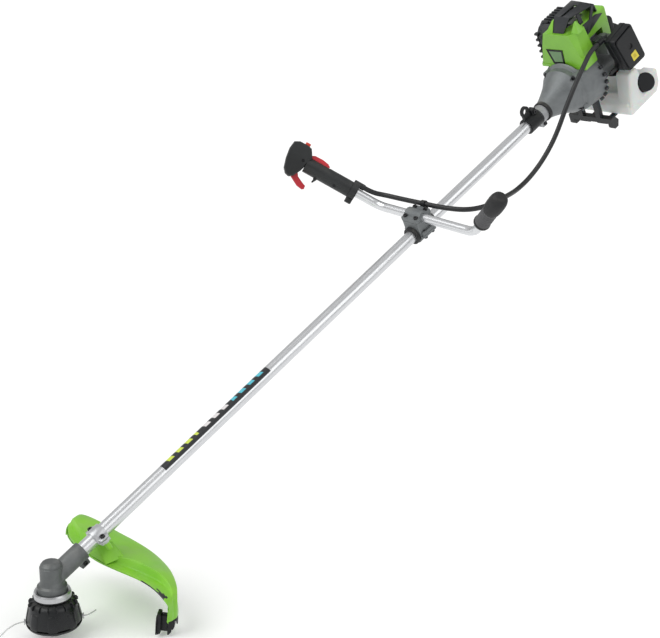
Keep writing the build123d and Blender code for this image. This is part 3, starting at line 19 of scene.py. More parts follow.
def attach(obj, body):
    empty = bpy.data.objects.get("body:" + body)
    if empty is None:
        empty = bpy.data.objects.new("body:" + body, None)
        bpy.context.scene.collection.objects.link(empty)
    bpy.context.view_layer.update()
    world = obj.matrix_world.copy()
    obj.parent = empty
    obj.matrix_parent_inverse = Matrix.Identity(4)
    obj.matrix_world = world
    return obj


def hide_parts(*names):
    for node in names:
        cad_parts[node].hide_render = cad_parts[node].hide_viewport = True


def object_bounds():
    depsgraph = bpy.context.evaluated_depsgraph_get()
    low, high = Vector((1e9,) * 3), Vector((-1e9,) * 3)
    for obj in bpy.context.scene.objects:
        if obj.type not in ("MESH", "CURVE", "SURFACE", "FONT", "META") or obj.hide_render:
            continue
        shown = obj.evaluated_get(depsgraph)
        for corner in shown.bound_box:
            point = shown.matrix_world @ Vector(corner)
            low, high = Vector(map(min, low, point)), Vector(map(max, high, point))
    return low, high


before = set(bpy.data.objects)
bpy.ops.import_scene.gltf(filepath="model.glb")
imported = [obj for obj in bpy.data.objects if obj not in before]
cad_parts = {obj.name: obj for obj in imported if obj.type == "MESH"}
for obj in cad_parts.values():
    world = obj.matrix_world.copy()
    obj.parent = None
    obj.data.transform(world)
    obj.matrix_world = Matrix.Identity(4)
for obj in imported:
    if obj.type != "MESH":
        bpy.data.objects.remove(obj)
cad_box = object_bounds()

# %% [markdown]
# ## Local frames
#
# On a tool that lies at a slant, it is easiest to model each piece upright in its own frame,
# in millimetres, and to lay it in place with one matrix at the end. `HEAD` stands at the
# crossing of the tube and the spindle, `SHAFT` is the same point tilted along the tube, and
# `BAR`, `GUARD`, `LEFT_GRIP` and `CAP` belong to the handlebar, the guard, the left grip and
# the tank's filler.

# %% Frames of the main parts
SHAFT_RISE = 28
BAR_AT, BAR_ROLL = 1024.4, 3.6
GUARD_ROLL = 8
EYE_AT, EYE_HEIGHT = 1402.0, 34.0
MILLIMETRES = Matrix.Scale(0.001, 4)


def turned(angle, axis):
    return Matrix.Rotation(radians(angle), 4, axis)


def moved(x, y, z):
    return Matrix.Translation((x, y, z))


def axes(origin, x_dir, z_dir):
    """Frame from its origin and the directions of its X and Z axes."""
    z = Vector(z_dir).normalized()
    x = (Vector(x_dir) - z * z.dot(Vector(x_dir))).normalized()
    y = z.cross(x)
    place = Matrix((x, y, z)).transposed().to_4x4()
    place.translation = origin
    return place


rise = radians(SHAFT_RISE)
HEAD = moved(
    -(EYE_AT * cos(rise) - EYE_HEIGHT * sin(rise)),
    0,
    -(EYE_AT * sin(rise) + EYE_HEIGHT * cos(rise)),
)
SHAFT = HEAD @ turned(-SHAFT_RISE, "Y")
BAR = SHAFT @ moved(BAR_AT, 0, 0) @ turned(BAR_ROLL, "X")
GUARD = SHAFT @ turned(GUARD_ROLL, "X") @ turned(SHAFT_RISE, "Y")
LEFT = Vector((0.029, -0.665, 0.746)).normalized()
LEFT_GRIP = BAR @ axes((0, -154, 31), (1, 0, 0), LEFT)
CAP = SHAFT @ axes((1707, -68, -84), (1, 0, 0), (-0.30, -0.81, 0.50))
print("spindle stands at", [round(v / 1000, 3) for v in HEAD.translation])

# %% [markdown]
# ## Camera
#
# The camera comes first, because the cords are checked against its view. The camera looks
# along the tool from the cutting head's side, a little from above, through a long lens, so
# that the engine and the head stay in proportion.

# %% Camera
camera = bpy.data.objects.new("camera", bpy.data.cameras.new("camera"))
bpy.context.scene.collection.objects.link(camera)
camera.location = (-2.3451, -1.9299, 0.4267)
camera.rotation_euler = (radians(73.48), 0, radians(-42.62))
camera.data.lens = 76.1
camera.data.sensor_width = 36
camera.data.clip_end = 200
bpy.context.scene.camera = camera
bpy.context.scene.view_settings.view_transform = "Standard"
print("camera looks from", tuple(round(v, 2) for v in camera.location))

# %% [markdown]
# ## Throttle cable and nylon line
#
# A cable is a fixed length of something springy. A NURBS curve through a few given
# points bends as it does, with no corners, and its round section comes from the curve's own
# bevel. The cable leaves the air filter's case, arches down beside the tube, crosses the
# tube under its clip and enters the bottom of the throttle handle. The two ends of cutting
# line stand out of the head's eyelets.


# %% Cords
def spline_cord(name, points, diameter):
    """Round cord along a smooth curve through the space between its control points."""
    curve = bpy.data.curves.new(name, "CURVE")
    curve.dimensions = "3D"
    curve.bevel_depth = 1.0
    curve.bevel_resolution = 5
    curve.resolution_u = 10
    curve.use_fill_caps = True
    spline = curve.splines.new("NURBS")
    spline.points.add(len(points) - 1)
    for point, place in zip(spline.points, points):
        point.co = (*place, 1)
        point.radius = diameter / 2
    spline.order_u = 3
    spline.use_endpoint_u = True
    piece = bpy.data.objects.new(name, curve)
    bpy.context.scene.collection.objects.link(piece)
    return piece


CABLE_POINTS = [
    (0.1495, -0.0720, 0.1384), (0.1275, -0.0720, 0.1267), (0.0986, -0.0780, 0.1000),
    (0.0647, -0.0830, 0.0616), (0.0346, -0.0830, 0.0116), (0.0118, -0.0790, -0.0435),
    (-0.0179, -0.0730, -0.0899), (-0.0577, -0.0700, -0.1258), (-0.1059, -0.0750, -0.1458),
    (-0.1609, -0.0930, -0.1490), (-0.2105, -0.1090, -0.1493), (-0.2502, -0.1120, -0.1557),
    (-0.2854, -0.0950, -0.1597), (-0.3038, -0.0520, -0.1593), (-0.3092, 0.0020, -0.1576),
    (-0.3146, 0.0540, -0.1560), (-0.3232, 0.0980, -0.1526), (-0.3424, 0.1155, -0.1476),
    (-0.3546, 0.1280, -0.1378),
]
throttle_cable = spline_cord("throttle_cable_jacket", CABLE_POINTS, 0.0104)
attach(throttle_cable, "frame")
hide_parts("throttle_cable")

LINE_D = 0.0024
LINE_LONG = [(46, 0, 0), (58, 0, 0), (73, 3, -4), (88, 6, -14), (100.6, 8, -27.6)]
LINE_SHORT = [(46, 0, 0), (56, 0, 0), (66, 6, 1), (73, 14, 1)]


def line_points(points, bearing):
    """Control points of a line end, from the head's frame into metres."""
    place = MILLIMETRES @ HEAD @ turned(bearing, "Z") @ moved(0, 0, -76)
    return [tuple(place @ Vector(p)) for p in points]


nylon_ends = []
for name, points, bearing, length in (("long", LINE_LONG, 150, 0.065),
                                      ("short", LINE_SHORT, 330, 0.032)):
    route = line_points(points, bearing)
    nylon = spline_cord("nylon_line_" + name, route, LINE_D)
    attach(nylon, "head")
    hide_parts("trimmer_line_" + name)
    nylon_ends.append(nylon)
print("cords:", throttle_cable.name, [n.name for n in nylon_ends])

# %% [markdown]
# ## Shared surface effects
#
# Real surfaces are never one flat colour. Four effects turn up again and again on this tool,
# so each is built once as a node group and placed in many materials with its own values:
# the fine texture of a moulding tool, the pebbled skin of a die casting, the lengthwise lines
# of drawn metal, and the dust and scuffs that a garden tool gathers. They read the object's
# own coordinates in metres, and put out plain values for the shader to use.


# %% Node helpers
def srgb(red, green, blue):
    """Linear colour from values between 0 and 255."""
    values = [v / 255 for v in (red, green, blue)]
    linear = [v / 12.92 if v <= 0.04045 else ((v + 0.055) / 1.055) ** 2.4 for v in values]
    return (*linear, 1)


def wire(tree, source, target):
    tree.links.new(source, target)


def start_group(name, inputs, outputs):
    """Empty node group with float or vector sockets, and its input and output nodes."""
    group = bpy.data.node_groups.new(name, "ShaderNodeTree")
    for label, kind, value in inputs:
        socket = group.interface.new_socket(label, in_out="INPUT", socket_type=kind)
        if value is not None:
            socket.default_value = value
    for label, kind in outputs:
        group.interface.new_socket(label, in_out="OUTPUT", socket_type=kind)
    return group, group.nodes.new("NodeGroupInput"), group.nodes.new("NodeGroupOutput")


def noise_in(tree, vector, scale, detail, roughness=0.5, distortion=0.0):
    node = tree.nodes.new("ShaderNodeTexNoise")
    node.inputs["Detail"].default_value = detail
    node.inputs["Roughness"].default_value = roughness
    node.inputs["Distortion"].default_value = distortion
    wire(tree, vector, node.inputs["Vector"])
    if isinstance(scale, (int, float)):
        node.inputs["Scale"].default_value = scale
    else:
        wire(tree, scale, node.inputs["Scale"])
    return node


def math_in(tree, operation, first, second=None, third=None, clamp=False):
    node = tree.nodes.new("ShaderNodeMath")
    node.operation = operation
    node.use_clamp = clamp
    for socket, value in zip(node.inputs, (first, second, third)):
        if isinstance(value, (int, float)):
            socket.default_value = value
        elif value is not None:
            wire(tree, value, socket)
    return node.outputs[0]


def range_in(tree, value, low, high, to_low=0.0, to_high=1.0):
    node = tree.nodes.new("ShaderNodeMapRange")
    node.interpolation_type = "SMOOTHSTEP"
    wire(tree, value, node.inputs["Value"])
    for label, number in (("From Min", low), ("From Max", high), ("To Min", to_low),
                          ("To Max", to_high)):
        node.inputs[label].default_value = number
    return node.outputs["Result"]


# %% Effect: moulded grain
moulded_grain, given, result = start_group(
    "moulded_grain",
    [("Vector", "NodeSocketVector", None), ("Scale", "NodeSocketFloat", 900.0)],
    [("Height", "NodeSocketFloat"), ("Tone", "NodeSocketFloat")])
fine = noise_in(moulded_grain, given.outputs["Vector"], given.outputs["Scale"], 2)
cells = moulded_grain.nodes.new("ShaderNodeTexVoronoi")
cells.feature = "SMOOTH_F1"
wire(moulded_grain, given.outputs["Vector"], cells.inputs["Vector"])
wire(moulded_grain, given.outputs["Scale"], cells.inputs["Scale"])
flow = noise_in(moulded_grain, given.outputs["Vector"], 14, 3)
grain_height = math_in(moulded_grain, "ADD", fine.outputs["Fac"], cells.outputs["Distance"])
wire(moulded_grain, grain_height, result.inputs["Height"])
wire(moulded_grain, range_in(moulded_grain, flow.outputs["Fac"], 0.3, 0.7), result.inputs["Tone"])
print("group", moulded_grain.name)

# %% Effect: cast skin
cast_skin, given, result = start_group(
    "cast_skin",
    [("Vector", "NodeSocketVector", None), ("Scale", "NodeSocketFloat", 420.0)],
    [("Height", "NodeSocketFloat"), ("Tone", "NodeSocketFloat")])
pebbles = noise_in(cast_skin, given.outputs["Vector"], given.outputs["Scale"], 5, 0.65)
swirls = noise_in(cast_skin, given.outputs["Vector"], 30, 4, 0.6, 0.6)
pits = cast_skin.nodes.new("ShaderNodeTexVoronoi")
pits.inputs["Scale"].default_value = 600
wire(cast_skin, given.outputs["Vector"], pits.inputs["Vector"])
pit_depth = range_in(cast_skin, pits.outputs["Distance"], 0.0, 0.25, 0.0, 0.4)
cast_height = math_in(cast_skin, "ADD", pebbles.outputs["Fac"], pit_depth)
wire(cast_skin, cast_height, result.inputs["Height"])
wire(cast_skin, range_in(cast_skin, swirls.outputs["Fac"], 0.25, 0.75), result.inputs["Tone"])
print("group", cast_skin.name)

# %% Effect: drawn lines
drawn_lines, given, result = start_group(
    "drawn_lines",
    [("Vector", "NodeSocketVector", None), ("Across", "NodeSocketFloat", 2.2),
     ("Along", "NodeSocketFloat", 0.02)],
    [("Height", "NodeSocketFloat"), ("Tone", "NodeSocketFloat")])
split = drawn_lines.nodes.new("ShaderNodeSeparateXYZ")
wire(drawn_lines, given.outputs["Vector"], split.inputs[0])
joined = drawn_lines.nodes.new("ShaderNodeCombineXYZ")
wire(drawn_lines, math_in(drawn_lines, "MULTIPLY", split.outputs["X"], given.outputs["Along"]),
     joined.inputs["X"])
for axis in "YZ":
    wire(drawn_lines, math_in(drawn_lines, "MULTIPLY", split.outputs[axis],
                              given.outputs["Across"]), joined.inputs[axis])
lines = noise_in(drawn_lines, joined.outputs[0], 1.0, 4, 0.7)
wire(drawn_lines, lines.outputs["Fac"], result.inputs["Height"])
wire(drawn_lines, range_in(drawn_lines, lines.outputs["Fac"], 0.3, 0.7), result.inputs["Tone"])
print("group", drawn_lines.name)

# %% Effect: garden dust
garden_dust, given, result = start_group(
    "garden_dust",
    [("Vector", "NodeSocketVector", None), ("Amount", "NodeSocketFloat", 0.2)],
    [("Dust", "NodeSocketFloat"), ("Scuff", "NodeSocketFloat")])
facing = garden_dust.nodes.new("ShaderNodeNewGeometry")
upright = garden_dust.nodes.new("ShaderNodeSeparateXYZ")
wire(garden_dust, facing.outputs["Normal"], upright.inputs[0])
on_top = range_in(garden_dust, upright.outputs["Z"], 0.1, 0.95)
patches = noise_in(garden_dust, given.outputs["Vector"], 38, 6, 0.65)
speckled = range_in(garden_dust, patches.outputs["Fac"], 0.42, 0.7)
dust = math_in(garden_dust, "MULTIPLY", on_top, speckled)
wire(garden_dust, math_in(garden_dust, "MULTIPLY", dust, given.outputs["Amount"]),
     result.inputs["Dust"])
rubbed = noise_in(garden_dust, given.outputs["Vector"], 120, 5, 0.75, 1.2)
wire(garden_dust, math_in(garden_dust, "MULTIPLY",
                          range_in(garden_dust, rubbed.outputs["Fac"], 0.56, 0.72),
                          given.outputs["Amount"]), result.inputs["Scuff"])
print("group", garden_dust.name)

# %% [markdown]
# ## The finishes
#
# Every finish follows one pattern. A skin effect gives the bump and a slow change of tone,
# the dust effect lightens what faces the sky and scuffs the sheen, and the shader's own
# sockets hold what is constant, such as the metal or the coat. One function wires that
# pattern, and each finish then says its two colours, its roughness and its skin.


# %% Finish pattern
DUST_COLOUR = srgb(176, 172, 160)
MATERIALS = {}


def local_vector(tree, place=None):
    """Object coordinates, or the same in millimetres in a part's own frame."""
    source = tree.nodes.new("ShaderNodeTexCoord").outputs["Object"]
    if place is None:
        return source
    mapping = tree.nodes.new("ShaderNodeMapping")
    mapping.vector_type = "TEXTURE"
    matrix = MILLIMETRES @ place
    mapping.inputs["Location"].default_value = matrix.translation
    mapping.inputs["Rotation"].default_value = place.to_euler()
    mapping.inputs["Scale"].default_value = (0.001, 0.001, 0.001)
    wire(tree, source, mapping.inputs["Vector"])
    return mapping.outputs["Vector"]


def mix_colour(tree, factor, first, second):
    """Colour between two, which may be fixed colours or sockets."""
    node = tree.nodes.new("ShaderNodeMix")
    node.data_type = "RGBA"
    for socket, value in ((node.inputs[6], first), (node.inputs[7], second)):
        if isinstance(value, tuple):
            socket.default_value = value
        else:
            wire(tree, value, socket)
    wire(tree, factor, node.inputs[0])
    return node.outputs[2]


def finish(name, light, dark, rough, skin=moulded_grain, scale=900.0, depth=0.00004, dust=0.15,
           metallic=0.0, coat=0.0, frame_of=None, along=None, **sockets):
    """Material of two tones, a skin and dust.

    The tones are given between 0 and 255, and further names set the shader's own sockets.
    """
    material = bpy.data.materials.new(name)
    material.use_nodes = True
    tree = material.node_tree
    shader = tree.nodes["Principled BSDF"]
    vector = local_vector(tree)
    surface = tree.nodes.new("ShaderNodeGroup")
    surface.node_tree = skin
    wire(tree, local_vector(tree, frame_of) if frame_of else vector, surface.inputs["Vector"])
    if "Scale" in surface.inputs:
        surface.inputs["Scale"].default_value = scale
    if along is not None:
        surface.inputs["Across"].default_value = along[0]
        surface.inputs["Along"].default_value = along[1]
    dirt = tree.nodes.new("ShaderNodeGroup")
    dirt.node_tree = garden_dust
    dirt.inputs["Amount"].default_value = dust
    wire(tree, vector, dirt.inputs["Vector"])
    tone = mix_colour(tree, surface.outputs["Tone"], srgb(*dark), srgb(*light))
    colour = mix_colour(tree, dirt.outputs["Dust"], tone, DUST_COLOUR)
    wire(tree, colour, shader.inputs["Base Color"])
    spread = range_in(tree, surface.outputs["Tone"], 0.0, 1.0, rough[0], rough[1])
    wire(tree, math_in(tree, "ADD", spread, dirt.outputs["Scuff"], clamp=True),
         shader.inputs["Roughness"])
    bump = tree.nodes.new("ShaderNodeBump")
    bump.inputs["Distance"].default_value = depth
    bump.inputs["Strength"].default_value = 1.0
    wire(tree, surface.outputs["Height"], bump.inputs["Height"])
    wire(tree, bump.outputs["Normal"], shader.inputs["Normal"])
    shader.inputs["Metallic"].default_value = metallic
    shader.inputs["Coat Weight"].default_value = coat
    for label, value in sockets.items():
        shader.inputs[label.replace("_", " ")].default_value = value
    MATERIALS[name] = material
    return material


# %% Plastics
green_plastic = finish("green_plastic", (132, 196, 56), (120, 184, 48), (0.30, 0.38),
                       scale=1100, depth=0.00002, dust=0.08, coat=0.25)
guard_green = finish("guard_green", (138, 204, 54), (122, 192, 46), (0.36, 0.46),
                     scale=700, depth=0.00004, dust=0.12)
dark_plastic = finish("dark_plastic", (27, 29, 31), (19, 20, 22), (0.40, 0.52),
                      scale=800, depth=0.00006, dust=0.05, Specular_IOR_Level=0.3)
cover_plastic = finish("cover_plastic", (25, 27, 30), (18, 20, 22), (0.32, 0.44),
                       scale=900, depth=0.00004, dust=0.03, Specular_IOR_Level=0.25)
cage_plastic = finish("cage_plastic", (40, 43, 47), (30, 32, 36), (0.34, 0.46),
                      scale=850, dust=0.06)
# This black serves the real skirt and the muffler guard, and also the painted shadow line under the
# guard's lip.
guard_black_and_lip_shadow = finish("guard_black_and_lip_shadow", (34, 35, 37), (25, 26, 28), (0.45, 0.6),
                     scale=500, depth=0.0001, dust=0.08)
handle_plastic = finish("handle_plastic", (33, 36, 37), (24, 26, 27), (0.42, 0.54),
                        scale=1000, depth=0.00005, dust=0.05)
head_nylon = finish("head_nylon", (26, 28, 30), (18, 20, 22), (0.24, 0.38),
                    scale=650, depth=0.00005, dust=0.05, Specular_IOR_Level=0.35)
stand_plastic = finish("stand_plastic", (37, 39, 41), (28, 30, 31), (0.45, 0.58),
                       scale=600, depth=0.00008, dust=0.1)
red_plastic = finish("red_plastic", (206, 44, 54), (184, 30, 44), (0.3, 0.4),
                     scale=1200, depth=0.00002, dust=0.05, coat=0.3)
orange_plastic = finish("orange_plastic", (216, 66, 44), (196, 52, 36), (0.32, 0.42),
                        scale=1200, depth=0.00002, dust=0.05, coat=0.2)
print("plastics:", len(MATERIALS))

# %% Rubbers
soft_rubber = finish("soft_rubber", (32, 33, 35), (24, 25, 26), (0.58, 0.72),
                     scale=700, depth=0.00008, dust=0.2)
grip_rubber = finish("grip_rubber", (88, 88, 90), (76, 76, 78), (0.6, 0.74),
                     scale=500, depth=0.0001, dust=0.12)
cable_jacket = finish("cable_jacket", (26, 28, 30), (19, 20, 22), (0.42, 0.52),
                      scale=900, depth=0.00004, dust=0.05)
print("rubbers:", [m for m in MATERIALS if "rubber" in m or "jacket" in m])

# %% Metals
cast_aluminium = finish("cast_aluminium", (116, 119, 119), (94, 97, 97),
                        (0.46, 0.58), skin=cast_skin, scale=420, depth=0.00012, dust=0.12,
                        metallic=0.65)
housing_paint = finish("housing_paint", (124, 128, 129), (104, 108, 110),
                       (0.42, 0.55), skin=cast_skin, scale=520, depth=0.00008, dust=0.1,
                       metallic=0.35)
bright_cast = finish("bright_cast", (206, 208, 210), (176, 178, 181), (0.34, 0.46),
                     skin=cast_skin, scale=500, depth=0.00006, dust=0.08, metallic=0.7)
drawn_tube = finish("drawn_tube", (222, 223, 225), (200, 202, 204), (0.24, 0.36),
                    skin=drawn_lines, depth=0.00001, dust=0.06, metallic=0.85, frame_of=SHAFT)
bar_tube = finish("bar_tube", (226, 227, 229), (206, 208, 210), (0.22, 0.32),
                  skin=drawn_lines, depth=0.00001, dust=0.05, metallic=0.85, frame_of=BAR,
                  along=(0.9, 0.9))
turned_steel = finish("turned_steel", (198, 199, 200), (168, 169, 171), (0.24, 0.4),
                      skin=drawn_lines, depth=0.00002, dust=0.08, metallic=1.0, frame_of=HEAD,
                      along=(3.0, 3.0))
drive_steel = finish("drive_steel", (186, 187, 189), (152, 154, 157), (0.26, 0.4),
                     skin=drawn_lines, depth=0.00001, dust=0.03, metallic=1.0, frame_of=SHAFT,
                     along=(2.4, 0.05))
black_zinc = finish("black_zinc", (66, 66, 68), (44, 44, 46), (0.32, 0.46),
                    skin=cast_skin, scale=900, depth=0.00002, dust=0.1, metallic=0.8)
exhaust_steel = finish("exhaust_steel", (132, 118, 104), (88, 78, 72), (0.4, 0.6),
                       skin=cast_skin, scale=300, depth=0.00006, dust=0.15, metallic=0.9)
cylinder_cast = finish("cylinder_cast", (176, 178, 180), (146, 148, 150), (0.44, 0.6),
                       skin=cast_skin, scale=600, depth=0.00012, dust=0.15, metallic=0.8)
blade_steel = finish("blade_steel", (190, 190, 192), (158, 160, 162), (0.22, 0.36),
                     skin=drawn_lines, depth=0.00002, dust=0.1, metallic=1.0, frame_of=GUARD,
                     along=(2.0, 0.1))
print("metals done, finishes so far:", len(MATERIALS))

# %% [markdown]
# ## Clear and special finishes
#
# A few pieces need more than a skin. The fuel tank is milky polyethylene that lets light
# through, the primer is a clear bulb, the nylon line is translucent, and the main tube has a
# printed wrap. The wrap is a black band over the top of the tube with plain coloured bars, so
# it says nothing, but keeps the rhythm of a real one.

# %% Translucent materials
tank_white = finish("tank_white", (230, 233, 230), (219, 223, 220), (0.34, 0.44),
                    scale=700, depth=0.00003, dust=0.08, coat=0.1,
                    Subsurface_Weight=0.35, Subsurface_Scale=0.01)
primer_clear = finish("primer_clear", (214, 214, 196), (200, 200, 180), (0.12, 0.2),
                      scale=900, depth=0.00001, dust=0.05, Transmission_Weight=0.75, IOR=1.45)
line_nylon = finish("line_nylon", (226, 228, 226), (206, 208, 206), (0.2, 0.3),
                    scale=1500, depth=0.00001, dust=0.03, Transmission_Weight=0.3, IOR=1.5)
plug_ceramic = finish("plug_ceramic", (236, 235, 230), (226, 225, 218), (0.12, 0.2),
                      scale=1500, depth=0.00001, dust=0.03, coat=0.6)
filter_felt = finish("filter_felt", (196, 178, 130), (168, 150, 104), (0.85, 0.95),
                     skin=cast_skin, scale=900, depth=0.0006, dust=0.3)
coil_epoxy = finish("coil_epoxy", (58, 52, 60), (42, 38, 44), (0.24, 0.36),
                    scale=900, depth=0.00003, dust=0.1)
print("special finishes done, materials in all:", len(MATERIALS))


# %% Printed wrap of the main tube
WRAP_ENDS = 277, 560
WRAP_SIDE = 0.95
BAR_PITCH = 24.0
BAR_STRETCHES = [(284, 372, srgb(206, 222, 84)), (384, 452, srgb(226, 222, 222)),
                 (464, 552, srgb(86, 190, 208))]


def wrapped_tube():
    """Drawn aluminium with a black wrap on top that carries plain coloured bars."""
    material = drawn_tube.copy()
    material.name = "wrapped_tube"
    tree = material.node_tree
    shader = tree.nodes["Principled BSDF"]
    bare = shader.inputs["Base Color"].links[0].from_socket
    bare_rough = shader.inputs["Roughness"].links[0].from_socket
    split = tree.nodes.new("ShaderNodeSeparateXYZ")
    wire(tree, local_vector(tree, SHAFT), split.inputs[0])
    station, across, up = split.outputs
    angle = math_in(tree, "ARCTAN2", across, up)

    def between(value, low, high, soft):
        rise = range_in(tree, value, low - soft, low + soft)
        fall = range_in(tree, value, high - soft, high + soft, 1.0, 0.0)
        return math_in(tree, "MULTIPLY", rise, fall)

    band = math_in(tree, "MULTIPLY", between(station, *WRAP_ENDS, 0.4),
                   between(angle, -WRAP_SIDE, WRAP_SIDE, 0.03))
    phase = math_in(tree, "FRACT", math_in(tree, "DIVIDE", station, BAR_PITCH))
    slanted = math_in(tree, "ADD", phase, math_in(tree, "MULTIPLY", angle, 0.16))
    bars = math_in(tree, "MULTIPLY", between(slanted, 0.22, 0.78, 0.03),
                   between(angle, -0.30, 0.62, 0.04))
    colour = mix_colour(tree, band, bare, srgb(38, 40, 42))
    for start, end, ink in BAR_STRETCHES:
        amount = math_in(tree, "MULTIPLY", between(station, start, end, 0.5), bars)
        colour = mix_colour(tree, math_in(tree, "MULTIPLY", amount, band), colour, ink)
    wire(tree, colour, shader.inputs["Base Color"])
    metal = math_in(tree, "MULTIPLY", math_in(tree, "SUBTRACT", 1.0, band), 0.85)
    wire(tree, metal, shader.inputs["Metallic"])
    rough = tree.nodes.new("ShaderNodeMix")
    wire(tree, band, rough.inputs[0])
    wire(tree, bare_rough, rough.inputs[2])
    rough.inputs[3].default_value = 0.3
    wire(tree, rough.outputs[0], shader.inputs["Roughness"])
    return material


tube_finish = wrapped_tube()
print("wrap finished:", tube_finish.name)

# %% [markdown]
# ## A finish for every CAD piece
#
# The solids whose shape is right stay as they are and only take a finish. Each node takes one,
# that of the material which shows most. The nodes that are modelled again below have one here
# too, so that a missing piece would show its CAD solid in the right colour.

# %% Finishes of the CAD pieces
FINISH_OF = {
    cast_aluminium: ["gearbox_housing", "crankcase", "carburettor"],
    housing_paint: ["clutch_housing", "fan_case", "bar_clamp_base", "bar_clamp_cap"],
    bright_cast: ["guard_bracket"],
    turned_steel: ["output_spindle", "blade_flange", "line_eyelets"],
    drive_steel: ["bearings", "drive_shaft", "clutch_drum", "crankshaft", "clutch_shoes",
                  "piston", "head_spring"],
    exhaust_steel: ["muffler"],
    black_zinc: ["screws"],
    blade_steel: ["line_cutter"],
    tube_finish: ["main_tube"],
    bar_tube: ["handlebar_tube"],
    guard_green: ["guard_shield"],
    green_plastic: ["engine_cover"],
    guard_black_and_lip_shadow: ["guard_skirt", "muffler_guard"],
    cover_plastic: ["top_cover", "filter_case", "filter_cover", "fuel_cap"],
    dark_plastic: ["starter_housing", "starter_reel", "starter_handle", "choke_lever",
                   "harness_clamp", "cable_clip"],
    handle_plastic: ["handle_shell_left", "handle_shell_right"],
    head_nylon: ["line_head_housing", "line_spool", "bump_knob"],
    stand_plastic: ["tank_stand"],
    soft_rubber: ["rubber_mount", "bar_clamp_sleeve"],
    grip_rubber: ["left_grip"],
    red_plastic: ["throttle_trigger", "lockoff_lever"],
    orange_plastic: ["stop_switch"],
    tank_white: ["fuel_tank"],
    primer_clear: ["primer_bulb"],
    filter_felt: ["filter_element"],
    coil_epoxy: ["ignition_coil"],
    plug_ceramic: ["spark_plug"],
    cylinder_cast: ["cylinder", "flywheel", "tube_collar"],
}


def dress(piece, material):
    piece.data.materials.clear()
    piece.data.materials.append(material)


for material, names in FINISH_OF.items():
    for name in names:
        dress(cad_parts[name], material)
dress(throttle_cable, cable_jacket)
for nylon in nylon_ends:
    dress(nylon, line_nylon)
print("CAD pieces with a finish:", sum(len(names) for names in FINISH_OF.values()))

# %% [markdown]
# ## Modelling helpers
#
# Moulded covers and castings have flat facets, rounded edges and thin walls. The quick way to
# such a shape by hand is to add a box, cut its corners off with the bisect tool, and round the
# edges with a bevel. Turned shapes start as a disc that is extruded and resized ring by ring.
# These helpers do those steps with the usual operators, upright and in millimetres, and
# `settle` lays the finished piece in its place on its body.


# %% Helpers for modelling
ALONG_X = turned(90, "Y")
ALONG_Y = turned(-90, "X")


def alone():
    """Nothing selected, and object mode, ready for a new primitive."""
    if bpy.context.object and bpy.context.object.mode != "OBJECT":
        bpy.ops.object.mode_set(mode="OBJECT")
    bpy.ops.object.select_all(action="DESELECT")


def only(piece):
    alone()
    bpy.context.view_layer.objects.active = piece
    piece.select_set(True)


def new_box(x0, x1, y0, y1, z0, z1):
    alone()
    bpy.ops.mesh.primitive_cube_add(
        size=1, location=((x0 + x1) / 2, (y0 + y1) / 2, (z0 + z1) / 2),
        scale=(x1 - x0, y1 - y0, z1 - z0))
    bpy.ops.object.transform_apply(location=True, scale=True)
    return bpy.context.object


def carve(piece, *cuts):
    """Cut off what lies beyond each plane, given by a point and its outward normal."""
    only(piece)
    bpy.ops.object.mode_set(mode="EDIT")
    for point, normal in cuts:
        bpy.ops.mesh.select_all(action="SELECT")
        bpy.ops.mesh.bisect(plane_co=point, plane_no=Vector(normal).normalized(),
                            clear_outer=True, use_fill=True)
    bpy.ops.object.mode_set(mode="OBJECT")
    return piece


def lathe(profile, segments=64, lay=Matrix()):
    """Turned solid from (radius, height) points: a disc, extruded and resized ring by ring."""
    alone()
    radius, height = profile[0]
    bpy.ops.mesh.primitive_circle_add(vertices=segments, radius=radius, fill_type="NGON",
                                      location=(0, 0, height))
    piece = bpy.context.object
    bpy.ops.object.transform_apply(location=True)
    bpy.ops.object.mode_set(mode="EDIT")
    bpy.ops.mesh.select_all(action="SELECT")
    for next_radius, next_height in profile[1:]:
        bpy.ops.mesh.extrude_region_move(
            TRANSFORM_OT_translate={"value": (0, 0, next_height - height)})
        scale = next_radius / radius
        bpy.ops.transform.resize(value=(scale, scale, 1), center_override=(0, 0, next_height))
        radius, height = next_radius, next_height
    bpy.ops.mesh.select_all(action="SELECT")
    bpy.ops.mesh.normals_make_consistent(inside=False)
    bpy.ops.object.mode_set(mode="OBJECT")
    piece.data.transform(lay)
    return piece


def plate(corners, thickness):
    """Flat plate on four corners, as thick as asked, with the corners on its outer face."""
    alone()
    bpy.ops.mesh.primitive_plane_add(size=1)
    piece = bpy.context.object
    loop = piece.data.polygons[0].vertices
    for index, corner in zip(loop, corners):
        piece.data.vertices[index].co = corner
    apply_modifier(piece, "SOLIDIFY", thickness=thickness, offset=-1)
    return piece


def apply_modifier(piece, kind, **values):
    """Add a modifier with its values and apply it at once."""
    only(piece)
    modifier = piece.modifiers.new(kind.lower(), kind)
    for label, value in values.items():
        setattr(modifier, label, value)
    bpy.ops.object.modifier_apply(modifier=modifier.name)
    return piece


def subtract(piece, tool):
    """Cut the shape of a tool out of a piece, and remove the tool."""
    apply_modifier(piece, "BOOLEAN", operation="DIFFERENCE", object=tool, solver="EXACT")
    bpy.data.objects.remove(tool)
    return piece


def cut_boxes(piece, *boxes):
    """Cut boxes out of a piece, each given by its limits in x, y and z."""
    for limits in boxes:
        subtract(piece, new_box(*limits))
    return piece


def unite(piece, other):
    apply_modifier(piece, "BOOLEAN", operation="UNION", object=other, solver="EXACT")
    bpy.data.objects.remove(other)
    return piece


def rod(radius, start, end, lay, segments=48):
    """Plain round bar along the Z axis of a place, used as a cutting tool or a boss."""
    return lathe([(radius, start), (radius, end)], segments, lay)


def joined(pieces):
    """Several loose shapes made one object."""
    only(pieces[0])
    for piece in pieces:
        piece.select_set(True)
    bpy.ops.object.join()
    return bpy.context.object


